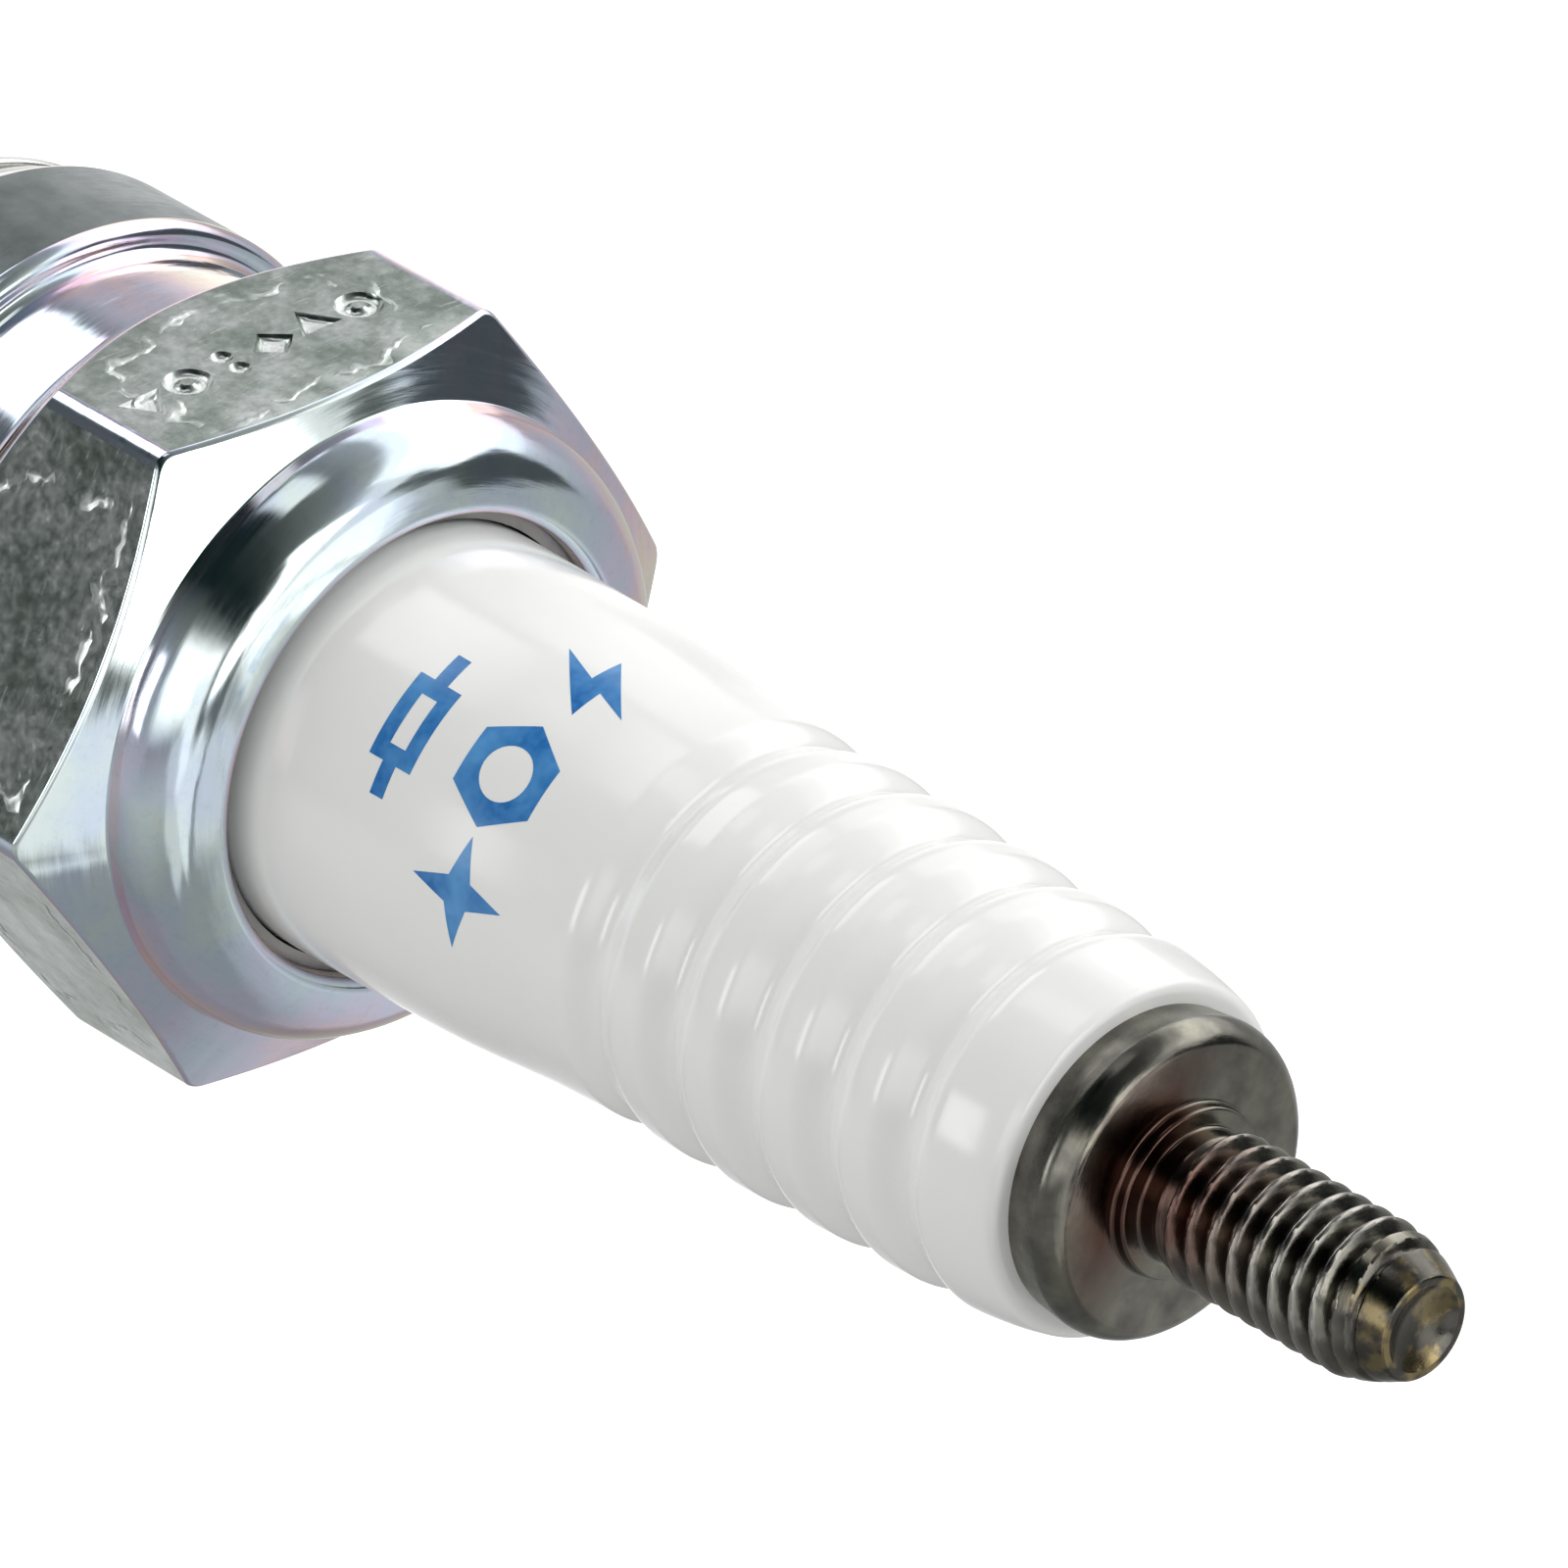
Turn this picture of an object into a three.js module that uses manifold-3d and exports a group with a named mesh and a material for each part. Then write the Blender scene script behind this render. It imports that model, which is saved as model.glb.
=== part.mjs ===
// A spark plug with a 12 mm thread, a one-piece hexagonal shell and a bare threaded terminal,
// built as the separate pieces that it is assembled from.
//
// Units are millimetres. +Z runs along the plug's axis towards the terminal. The origin is on the axis,
// level with the lowest point of the ground electrode. Two corners of the hexagon lie on +X and -X.

import * as THREE from "three";
import { mergeVertices } from "three/addons/utils/BufferGeometryUtils.js";
import Module from "manifold-3d";

// ---------------------------------------------------------------------------
// Driving dimensions
// ---------------------------------------------------------------------------

// Spark gap and firing end
const STRAP_THICKNESS = 1.3;
const STRAP_WIDTH = 2.6;
const STRAP_BEND = 0.9; // inside radius of the ground electrode's bend
const SPARK_GAP = 0.9;
const TIP_STANDS_OUT = 1.0; // centre electrode beyond the insulator's nose
const NOSE_STANDS_OUT = 1.5; // insulator's nose beyond the shell

// Plug lengths
const REACH = 19; // thread reach, from the seat to the shell's end
const SEAT_TO_TOP = 52.5; // from the seat to the tip of the terminal

// Terminal stud: M4 x 0.7 above a round flange
const STUD_THREAD = { radius: 1.96, pitch: 0.7 };
const STUD_LENGTH = 8.2; // above the flange
const STUD_FOOT_R = 2.2; // low step between the flange and the neck
const STUD_FOOT_HEIGHT = 0.35;
const STUD_NECK_R = 1.7;
const STUD_NECK_LENGTH = 0.8;
const STUD_TIP_R = 1.3;
const STUD_CONE_LENGTH = 1.3;
const STUD_DIMPLE_R = 1.15;
const STUD_DIMPLE_DEPTH = 0.35;
const FLANGE_R = 4.1;
const FLANGE_HEIGHT = 1.6;
const FLANGE_ROUNDING = 0.5;
const SHANK_R = 1.75;
const SHANK_END_R = 1.55; // the end that is sealed into the glass
const SHANK_END_LENGTH = 3;

// Shell: thread, seat, neck, hexagon and crimped top
const SHELL_THREAD = { radius: 6, pitch: 1.25 };
const ACROSS_FLATS = 18;
const HEX_CORNER_R = 10.3; // the corners are turned down a little from the sharp 10.39
const HEX_LOW = 9.8; // corner heights above the seat
const HEX_HIGH = 14;
const COLLAR_R = 8.75;
const COLLAR_HEIGHT = 4.25;
const COLLAR_ROUNDING = 0.4;
const SHELL_NECK_R = 8;
const NECK_FILLET = 0.8; // where the neck meets the hexagon's lower chamfer
const CRIMP_R = 8.25;
const CRIMP_TOP = 17.35; // above the seat
const CRIMP_ROUNDING = 1.7;
const LIP_R = 6.1; // the crimped lip's inner edge
const LIP_SLOPE = 0.3; // rise over run, towards the insulator
const LIP_THICKNESS = 0.85;
const UPPER_BORE_R = 6.85;
const LOWER_BORE_R = 4.2;
const LEDGE_R = 3.3; // inner ledge that carries the insulator
const LEDGE_DEPTH = 8.2; // below the seat
const LEDGE_LENGTH = 2.4;
const FIRING_BORE_R = 3.9;
const THREAD_LEAD = 0.9; // chamfer at the thread's start
const UNDERCUT_R = 5.35; // neck under the seat that holds the gasket
const UNDERCUT_LENGTH = 2.6;

// Insulator
const INSULATOR_TOP_R = 4.5;
const UPPER_TRUNK_R = 5.2; // among the grooves
const TRUNK_R = 5.73; // where it leaves the shell
const GROOVE_COUNT = 5;
const GROOVE_PITCH = 2.63;
const GROOVE_FIRST = 4.6; // first groove's centre below the flange's upper face
const GROOVE_DEPTH = 0.35;
const GROOVE_HALF_WIDTH = 0.9;
const MID_BODY_R = 6.7;
const MID_BODY_TOP = 8; // above the seat
const LOWER_TRUNK_R = 4.05;
const NOSE_BASE_R = 2.9;
const NOSE_TIP_R = 2.2;
const BODY_ROUNDING = 0.4; // at the nose and the wide middle
const TERMINAL_BORE_R = 2;
const ELECTRODE_BORE_R = 1.3;
const ELECTRODE_STEP = 6; // the electrode's head rests this far below the seat

// Sealed stack inside the insulator
const HEAD_R = 1.9;
const HEAD_HEIGHT = 1.4;
const LOWER_SEAL_HEIGHT = 3.4;
const RESISTOR_HEIGHT = 9;
const UPPER_SEAL_HEIGHT = 4.2;
const ELECTRODE_R = 1.25;
const CORE_R = 0.75;
const ELECTRODE_ROUNDING = 0.15;
const CORE_STOPS_SHORT = 2.2; // nickel below the copper core

// Packings and gasket
const PACKING_THICKNESS = 0.3; // washer between the insulator and the shell's ledge
const RING_HEIGHT = 0.8; // rings above and below the talc
const GASKET_SHEET = 0.4;
const GASKET_GAP = 0.4; // between the leaves of its fold
const GASKET_IN_R = 5.8;
const GASKET_OUT_R = 8.4;

// Shared by all pieces
const CLEARANCE = 0.05; // between neighbours that don't bear on each other
const EDGE_ROUNDING = 0.25; // plain turned edges and small fillets

// ISO metric outside thread, as shares of its pitch
const THREAD_DEPTH = 0.6134;
const THREAD_CREST = 1 / 8;

// Faceting
const SEGMENTS = 24; // round a full turn, a multiple of six so that corners of the hexagon fall on it
const ARC_STEPS = 3; // in each rounded corner
const BEND_STEPS = 4; // in each half turn of the folded gasket
const MERGE_TOLERANCE = 1e-3;

// ---------------------------------------------------------------------------
// Heights that follow from them
// ---------------------------------------------------------------------------

const ELECTRODE_TIP_Z = STRAP_THICKNESS + SPARK_GAP;
const NOSE_Z = ELECTRODE_TIP_Z + TIP_STANDS_OUT;
const SHELL_END_Z = NOSE_Z + NOSE_STANDS_OUT;
const SEAT_Z = SHELL_END_Z + REACH;
const TOP_Z = SEAT_Z + SEAT_TO_TOP;
const FLANGE_Z = TOP_Z - STUD_LENGTH;
const FLANGE_LOW_Z = FLANGE_Z - FLANGE_HEIGHT;
const LEDGE_Z = SEAT_Z - LEDGE_DEPTH;
const HEAD_Z = SEAT_Z - ELECTRODE_STEP;
const HEAD_TOP_Z = HEAD_Z + HEAD_HEIGHT;
const RESISTOR_Z = HEAD_TOP_Z + LOWER_SEAL_HEIGHT - HEAD_HEIGHT / 2;
const UPPER_SEAL_Z = RESISTOR_Z + RESISTOR_HEIGHT;
const UPPER_SEAL_TOP_Z = UPPER_SEAL_Z + UPPER_SEAL_HEIGHT;
const SHANK_END_Z = UPPER_SEAL_TOP_Z - SHANK_END_LENGTH;
const LIP_UNDER_Z = SEAT_Z + CRIMP_TOP - LIP_THICKNESS;
const LIP_ROOT_Z = LIP_UNDER_Z - (UPPER_BORE_R - LIP_R) / 2;
const SHOULDER_Z = SEAT_Z + MID_BODY_TOP;
const SHOULDER_TOP_Z = SHOULDER_Z + (MID_BODY_R - TRUNK_R) / 2;
const TALC_LOW_Z = SHOULDER_TOP_Z + RING_HEIGHT;
const TALC_HIGH_Z = LIP_ROOT_Z - RING_HEIGHT;
const GASKET_HEIGHT = 3 * GASKET_SHEET + 2 * GASKET_GAP;

// ---------------------------------------------------------------------------
// Solids
// ---------------------------------------------------------------------------

const wasm = await Module();
wasm.setup();

function solidFrom(geometry) {
  const bare = geometry.clone();
  bare.deleteAttribute("normal");
  bare.deleteAttribute("uv");
  const merged = mergeVertices(bare, MERGE_TOLERANCE);
  const source = merged.index.array;
  const triVerts = [];
  for (let i = 0; i < source.length; i += 3) {
    const [a, b, c] = source.slice(i, i + 3);
    if (a !== b && b !== c && c !== a) {
      triVerts.push(a, b, c);
    }
  }
  const mesh = new wasm.Mesh({
    numProp: 3,
    vertProperties: merged.attributes.position.array,
    triVerts: new Uint32Array(triVerts),
  });
  return new wasm.Manifold(mesh);
}

function geometryFrom(solid) {
  const mesh = solid.getMesh();
  const geometry = new THREE.BufferGeometry();
  geometry.setAttribute("position", new THREE.BufferAttribute(mesh.vertProperties, 3));
  geometry.setIndex(new THREE.BufferAttribute(mesh.triVerts, 1));
  geometry.computeVertexNormals();
  return geometry;
}

// Turns a closed outline of [radius, height] points round the Z axis. Outlines run up the outside and
// down the inside, so that the faces point out.
function turned(points) {
  const geometry = new THREE.LatheGeometry([...points, points[0].clone()], SEGMENTS);
  geometry.rotateX(Math.PI / 2);
  return solidFrom(geometry);
}

function arc(centreR, centreZ, radius, fromDegrees, toDegrees, steps) {
  const points = [];
  for (let i = 0; i <= steps; i += 1) {
    const angle = THREE.MathUtils.degToRad(fromDegrees + ((toDegrees - fromDegrees) * i) / steps);
    points.push(new THREE.Vector2(centreR + radius * Math.cos(angle), centreZ + radius * Math.sin(angle)));
  }
  return points;
}

// Corners are [radius, height, rounding]. A corner with a rounding becomes an arc of that radius.
function outline(corners) {
  const at = corners.map(([r, z]) => new THREE.Vector2(r, z));
  return corners.flatMap((corner, i) => {
    const rounding = corner[2] ?? 0;
    if (rounding === 0) {
      return [at[i]];
    }
    const back = at.at(i - 1).clone().sub(at[i]).normalize();
    const on = at[(i + 1) % at.length].clone().sub(at[i]).normalize();
    const half = Math.acos(back.dot(on)) / 2;
    const centre = at[i].clone().addScaledVector(back.clone().add(on).normalize(), rounding / Math.sin(half));
    const start = at[i].clone().addScaledVector(back, rounding / Math.tan(half)).sub(centre);
    const end = at[i].clone().addScaledVector(on, rounding / Math.tan(half)).sub(centre);
    const from = THREE.MathUtils.radToDeg(Math.atan2(start.y, start.x));
    const sweep = THREE.MathUtils.radToDeg(Math.atan2(start.cross(end), start.dot(end)));
    return arc(centre.x, centre.y, rounding, from, from + sweep, ARC_STEPS);
  });
}

// One pitch of an ISO metric outside thread, as [radius, height] points from the middle of the crest.
function threadForm({ radius, pitch }) {
  const depth = THREAD_DEPTH * pitch;
  const halfCrest = (THREAD_CREST * pitch) / 2;
  const flank = depth * Math.tan(Math.PI / 6);
  return [
    [radius, -halfCrest],
    [radius, halfCrest],
    [radius - depth, halfCrest + flank],
    [radius - depth, pitch - halfCrest - flank],
  ];
}

// A right-hand threaded bar that reaches beyond both heights: it starts two pitches below and ends more than
// one pitch above. Rings of lathed teeth are sheared by one pitch over a full turn, so that each ring runs into
// the next one, and both ends are closed to the axis.
function threadedBar(thread, lowZ, highZ) {
  const form = threadForm(thread);
  const teeth = Math.ceil((highZ - lowZ) / thread.pitch) + 3;
  const firstZ = lowZ - 2 * thread.pitch;
  const points = [new THREE.Vector2(0, firstZ)];
  for (let tooth = 0; tooth < teeth; tooth += 1) {
    form.forEach(([r, z]) => points.push(new THREE.Vector2(r, firstZ + tooth * thread.pitch + z)));
  }
  const last = points.length;
  points.push(new THREE.Vector2(0, firstZ + (teeth + 1) * thread.pitch));

  const geometry = new THREE.LatheGeometry(points, SEGMENTS);
  geometry.rotateX(Math.PI / 2);
  const position = geometry.attributes.position;
  for (let i = 0; i <= SEGMENTS; i += 1) {
    for (let j = 1; j < last; j += 1) {
      const vertex = i * points.length + j;
      position.setZ(vertex, position.getZ(vertex) + (thread.pitch * i) / SEGMENTS);
    }
  }

  const seamEnd = SEGMENTS * points.length;
  const index = [...geometry.index.array];
  for (let j = 1; j <= form.length; j += 1) {
    index.push(0, j, j + 1);
    index.push(last, seamEnd + last - j, seamEnd + last - j - 1);
  }
  geometry.setIndex(index);
  return solidFrom(geometry);
}

// ---------------------------------------------------------------------------
// Pieces
// ---------------------------------------------------------------------------

function terminalStud() {
  const threadLowZ = FLANGE_Z + STUD_NECK_LENGTH;
  const coneZ = TOP_Z - STUD_CONE_LENGTH;
  const envelopeR = STUD_THREAD.radius + CLEARANCE;
  const dimpleR = (STUD_DIMPLE_R ** 2 + STUD_DIMPLE_DEPTH ** 2) / (2 * STUD_DIMPLE_DEPTH);
  const dimpleHalf = THREE.MathUtils.radToDeg(Math.asin(STUD_DIMPLE_R / dimpleR));
  const body = turned([
    ...outline([
      [0, SHANK_END_Z],
      [SHANK_END_R, SHANK_END_Z, EDGE_ROUNDING],
      [SHANK_END_R, UPPER_SEAL_TOP_Z],
      [SHANK_R, UPPER_SEAL_TOP_Z + SHANK_R - SHANK_END_R],
      [SHANK_R, FLANGE_LOW_Z],
      [FLANGE_R, FLANGE_LOW_Z, EDGE_ROUNDING],
      [FLANGE_R, FLANGE_Z, FLANGE_ROUNDING],
      [STUD_FOOT_R, FLANGE_Z],
      [STUD_FOOT_R, FLANGE_Z + STUD_FOOT_HEIGHT],
      [STUD_NECK_R, FLANGE_Z + STUD_FOOT_HEIGHT],
      [STUD_NECK_R, threadLowZ],
      [envelopeR, threadLowZ + envelopeR - STUD_NECK_R],
      [envelopeR, coneZ],
      [STUD_TIP_R, TOP_Z],
    ]),
    ...arc(0, TOP_Z + dimpleR - STUD_DIMPLE_DEPTH, dimpleR, dimpleHalf - 90, -90, ARC_STEPS),
  ]);
  // Keeps the thread between the neck and the cone, and leaves the rest of the stud plain.
  const sleeve = turned(outline([
    [0, SHANK_END_Z - CLEARANCE],
    [FLANGE_R + CLEARANCE, SHANK_END_Z - CLEARANCE],
    [FLANGE_R + CLEARANCE, threadLowZ - CLEARANCE],
    [0, threadLowZ - CLEARANCE],
  ]));
  const bar = threadedBar(STUD_THREAD, threadLowZ, TOP_Z);
  return body.intersect(sleeve.add(bar));
}

// The trunk of the insulator between the shell and the terminal: a slight taper, with round grooves
// near the terminal.
function trunkRadius(z) {
  const grooveEnd = GROOVE_FIRST + GROOVE_COUNT * GROOVE_PITCH;
  const stations = [
    [0, TRUNK_R],
    [SEAT_Z + CRIMP_TOP, TRUNK_R],
    [FLANGE_Z - grooveEnd - GROOVE_PITCH * 2, TRUNK_R],
    [FLANGE_Z - grooveEnd, UPPER_TRUNK_R],
    [FLANGE_Z - grooveEnd / 2, UPPER_TRUNK_R],
    [FLANGE_LOW_Z - GROOVE_FIRST / 2, (UPPER_TRUNK_R + INSULATOR_TOP_R) / 2],
    [TOP_Z, INSULATOR_TOP_R],
  ];
  const above = stations.findIndex(([height]) => height > z);
  const [lowZ, lowR] = stations[above - 1];
  const [highZ, highR] = stations[above];
  return THREE.MathUtils.mapLinear(z, lowZ, highZ, lowR, highR);
}

function trunkOutline() {
  const points = [];
  for (let groove = GROOVE_COUNT - 1; groove >= 0; groove -= 1) {
    const centreZ = FLANGE_Z - GROOVE_FIRST - groove * GROOVE_PITCH;
    for (let step = -1; step <= 1; step += 0.5) {
      const z = centreZ + step * GROOVE_HALF_WIDTH;
      const depth = (GROOVE_DEPTH * (1 + Math.cos(step * Math.PI))) / 2;
      points.push([trunkRadius(z) - depth, z]);
    }
  }
  return points;
}

function insulator() {
  const grooveEndZ = FLANGE_Z - GROOVE_FIRST - GROOVE_COUNT * GROOVE_PITCH;
  const upperTaperZ = grooveEndZ - GROOVE_PITCH;
  const shoulderSlope = (UPPER_BORE_R - LOWER_BORE_R) / 2;
  const midLowZ = SEAT_Z + shoulderSlope + CLEARANCE;
  const packingRise = PACKING_THICKNESS / Math.cos(Math.PI / 4);
  const coneZ = LEDGE_Z - (LOWER_BORE_R - LEDGE_R) + packingRise;
  return turned(outline([
    [ELECTRODE_BORE_R, NOSE_Z],
    [NOSE_TIP_R, NOSE_Z, BODY_ROUNDING],
    [NOSE_BASE_R, coneZ - (LEDGE_R - NOSE_BASE_R)],
    [LOWER_TRUNK_R, coneZ - (LEDGE_R - LOWER_TRUNK_R)],
    [LOWER_TRUNK_R, SEAT_Z - shoulderSlope + CLEARANCE],
    [MID_BODY_R, midLowZ, BODY_ROUNDING],
    [MID_BODY_R, SHOULDER_Z, BODY_ROUNDING],
    [TRUNK_R, SHOULDER_TOP_Z],
    [TRUNK_R, SEAT_Z + CRIMP_TOP],
    [trunkRadius(upperTaperZ), upperTaperZ],
    [trunkRadius(grooveEndZ), grooveEndZ],
    ...trunkOutline(),
    [trunkRadius(FLANGE_LOW_Z - GROOVE_FIRST / 4), FLANGE_LOW_Z - GROOVE_FIRST / 4],
    [INSULATOR_TOP_R, FLANGE_LOW_Z, EDGE_ROUNDING],
    [TERMINAL_BORE_R, FLANGE_LOW_Z],
    [TERMINAL_BORE_R, HEAD_Z],
    [ELECTRODE_BORE_R, HEAD_Z],
  ]));
}

function shellEnvelope() {
  const envelopeR = SHELL_THREAD.radius + CLEARANCE;
  const threadTopZ = SEAT_Z - UNDERCUT_LENGTH;
  const collarZ = SEAT_Z + COLLAR_HEIGHT;
  const hexLowZ = SEAT_Z + HEX_LOW;
  const hexHighZ = SEAT_Z + HEX_HIGH;
  const crimpRootZ = hexHighZ + (HEX_CORNER_R - CRIMP_R) / 2;
  const lipRise = (CRIMP_R - LIP_R) * LIP_SLOPE;
  return turned(outline([
    [FIRING_BORE_R, SHELL_END_Z],
    [envelopeR - THREAD_LEAD, SHELL_END_Z],
    [envelopeR, SHELL_END_Z + THREAD_LEAD],
    [envelopeR, threadTopZ],
    [UNDERCUT_R, threadTopZ + (envelopeR - UNDERCUT_R) / 2],
    [UNDERCUT_R, SEAT_Z],
    [COLLAR_R, SEAT_Z, EDGE_ROUNDING],
    [COLLAR_R, collarZ, COLLAR_ROUNDING],
    [SHELL_NECK_R, collarZ, EDGE_ROUNDING],
    [SHELL_NECK_R, hexLowZ - (HEX_CORNER_R - SHELL_NECK_R), NECK_FILLET],
    [HEX_CORNER_R, hexLowZ],
    [HEX_CORNER_R, hexHighZ],
    [CRIMP_R, crimpRootZ],
    [CRIMP_R, SEAT_Z + CRIMP_TOP - lipRise, CRIMP_ROUNDING],
    [LIP_R, SEAT_Z + CRIMP_TOP, EDGE_ROUNDING],
    [LIP_R, LIP_UNDER_Z],
    [UPPER_BORE_R, LIP_ROOT_Z],
    [UPPER_BORE_R, SEAT_Z + (UPPER_BORE_R - LOWER_BORE_R) / 2],
    [LOWER_BORE_R, SEAT_Z - (UPPER_BORE_R - LOWER_BORE_R) / 2],
    [LOWER_BORE_R, LEDGE_Z],
    [LEDGE_R, LEDGE_Z - (LOWER_BORE_R - LEDGE_R)],
    [LEDGE_R, LEDGE_Z - LEDGE_LENGTH],
    [FIRING_BORE_R, LEDGE_Z - LEDGE_LENGTH - (FIRING_BORE_R - LEDGE_R)],
  ]));
}

function hexagonBar(lowZ, highZ) {
  const cornerR = ACROSS_FLATS / Math.sqrt(3);
  const shape = new THREE.Shape();
  for (let corner = 0; corner < 6; corner += 1) {
    const angle = (corner * Math.PI) / 3;
    const x = cornerR * Math.cos(angle);
    const y = cornerR * Math.sin(angle);
    if (corner === 0) {
      shape.moveTo(x, y);
    } else {
      shape.lineTo(x, y);
    }
  }
  shape.closePath();
  const geometry = new THREE.ExtrudeGeometry(shape, { depth: highZ - lowZ, bevelEnabled: false });
  geometry.translate(0, 0, lowZ);
  return solidFrom(geometry);
}

function metalShell() {
  const bar = threadedBar(SHELL_THREAD, SHELL_END_Z, SEAT_Z - UNDERCUT_LENGTH);
  const hexagon = hexagonBar(SEAT_Z - UNDERCUT_LENGTH / 2, TOP_Z);
  return shellEnvelope().intersect(bar.add(hexagon));
}

function upperPackingRing() {
  return turned(outline([
    [TRUNK_R + CLEARANCE, TALC_HIGH_Z],
    [UPPER_BORE_R, TALC_HIGH_Z],
    [UPPER_BORE_R, LIP_ROOT_Z],
    [LIP_R, LIP_UNDER_Z],
    [TRUNK_R + CLEARANCE, LIP_UNDER_Z],
  ]));
}

function talcPacking() {
  return turned(outline([
    [TRUNK_R, TALC_LOW_Z],
    [UPPER_BORE_R, TALC_LOW_Z],
    [UPPER_BORE_R, TALC_HIGH_Z],
    [TRUNK_R, TALC_HIGH_Z],
  ]));
}

function lowerPackingRing() {
  return turned(outline([
    [TRUNK_R + CLEARANCE, SHOULDER_TOP_Z],
    [MID_BODY_R, SHOULDER_Z + CLEARANCE],
    [UPPER_BORE_R, SHOULDER_Z + CLEARANCE],
    [UPPER_BORE_R, TALC_LOW_Z],
    [TRUNK_R + CLEARANCE, TALC_LOW_Z],
  ]));
}

function seatPacking() {
  const innerZ = LEDGE_Z - (LOWER_BORE_R - LEDGE_R);
  const rise = PACKING_THICKNESS;
  return turned(outline([
    [LEDGE_R, innerZ],
    [LOWER_TRUNK_R, innerZ + LOWER_TRUNK_R - LEDGE_R],
    [LOWER_TRUNK_R, innerZ + LOWER_TRUNK_R - LEDGE_R + rise],
    [LEDGE_R, innerZ + rise],
  ]));
}

function upperGlassSeal() {
  return turned(outline([
    [0, UPPER_SEAL_Z],
    [TERMINAL_BORE_R, UPPER_SEAL_Z],
    [TERMINAL_BORE_R, UPPER_SEAL_TOP_Z],
    [SHANK_END_R, UPPER_SEAL_TOP_Z],
    [SHANK_END_R, SHANK_END_Z],
    [0, SHANK_END_Z],
  ]));
}

function resistor() {
  return turned(outline([
    [0, RESISTOR_Z],
    [TERMINAL_BORE_R, RESISTOR_Z],
    [TERMINAL_BORE_R, UPPER_SEAL_Z],
    [0, UPPER_SEAL_Z],
  ]));
}

function lowerGlassSeal() {
  const skirtZ = HEAD_TOP_Z - HEAD_HEIGHT / 2;
  return turned(outline([
    [HEAD_R, skirtZ],
    [TERMINAL_BORE_R, skirtZ],
    [TERMINAL_BORE_R, RESISTOR_Z],
    [0, RESISTOR_Z],
    [0, HEAD_TOP_Z],
    [HEAD_R, HEAD_TOP_Z],
  ]));
}

function centreElectrode() {
  const coreLowZ = ELECTRODE_TIP_Z + CORE_STOPS_SHORT;
  return turned(outline([
    [0, ELECTRODE_TIP_Z],
    [ELECTRODE_R, ELECTRODE_TIP_Z, ELECTRODE_ROUNDING],
    [ELECTRODE_R, HEAD_Z],
    [HEAD_R, HEAD_Z],
    [HEAD_R, HEAD_TOP_Z],
    [CORE_R, HEAD_TOP_Z],
    [CORE_R, coreLowZ],
    [0, coreLowZ],
  ]));
}

function centreElectrodeCore() {
  const coreLowZ = ELECTRODE_TIP_Z + CORE_STOPS_SHORT;
  return turned(outline([
    [0, coreLowZ],
    [CORE_R, coreLowZ],
    [CORE_R, HEAD_TOP_Z],
    [0, HEAD_TOP_Z],
  ]));
}

// A strap welded to the shell's end, bent under the centre electrode.
function groundElectrode() {
  const innerX = FIRING_BORE_R;
  const outerX = innerX + STRAP_THICKNESS;
  const outerBend = STRAP_BEND + STRAP_THICKNESS;
  const bendX = outerX - outerBend;
  const tipX = -ELECTRODE_R;
  const shape = new THREE.Shape();
  shape.moveTo(outerX, SHELL_END_Z);
  shape.lineTo(innerX, SHELL_END_Z);
  shape.lineTo(innerX, outerBend);
  shape.absarc(bendX, outerBend, STRAP_BEND, 0, -Math.PI / 2, true);
  shape.lineTo(tipX, STRAP_THICKNESS);
  shape.lineTo(tipX, 0);
  shape.lineTo(bendX, 0);
  shape.absarc(bendX, outerBend, outerBend, -Math.PI / 2, 0, false);
  shape.closePath();
  const geometry = new THREE.ExtrudeGeometry(shape, {
    depth: STRAP_WIDTH,
    bevelEnabled: false,
    curveSegments: 2 * BEND_STEPS,
  });
  geometry.translate(0, 0, -STRAP_WIDTH / 2);
  geometry.rotateX(Math.PI / 2);
  return solidFrom(geometry);
}

// A crush washer folded from one sheet into three leaves. Its inner bend is smaller than the thread, so the
// washer stays on the plug, loose in the neck under the seat.
function sealingGasket() {
  const bendIn = GASKET_GAP / 2;
  const bendOut = bendIn + GASKET_SHEET;
  const lowZ = SEAT_Z - GASKET_HEIGHT;
  const innerCentreR = GASKET_IN_R + bendOut;
  const innerCentreZ = lowZ + bendOut;
  const outerCentreR = GASKET_OUT_R - bendOut;
  const outerCentreZ = SEAT_Z - bendOut;
  const lowerEdgeR = GASKET_OUT_R - GASKET_SHEET / 2;
  const upperEdgeR = GASKET_IN_R + GASKET_SHEET;
  return turned([
    new THREE.Vector2(lowerEdgeR, lowZ),
    new THREE.Vector2(lowerEdgeR, lowZ + GASKET_SHEET),
    ...arc(innerCentreR, innerCentreZ, bendIn, 270, 90, BEND_STEPS),
    ...arc(outerCentreR, outerCentreZ, bendOut, -90, 90, BEND_STEPS),
    new THREE.Vector2(upperEdgeR, SEAT_Z),
    new THREE.Vector2(upperEdgeR, SEAT_Z - GASKET_SHEET),
    ...arc(outerCentreR, outerCentreZ, bendIn, 90, -90, BEND_STEPS),
    ...arc(innerCentreR, innerCentreZ, bendOut, 90, 270, BEND_STEPS),
  ]);
}

// ---------------------------------------------------------------------------
// The assembly
// ---------------------------------------------------------------------------

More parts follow.
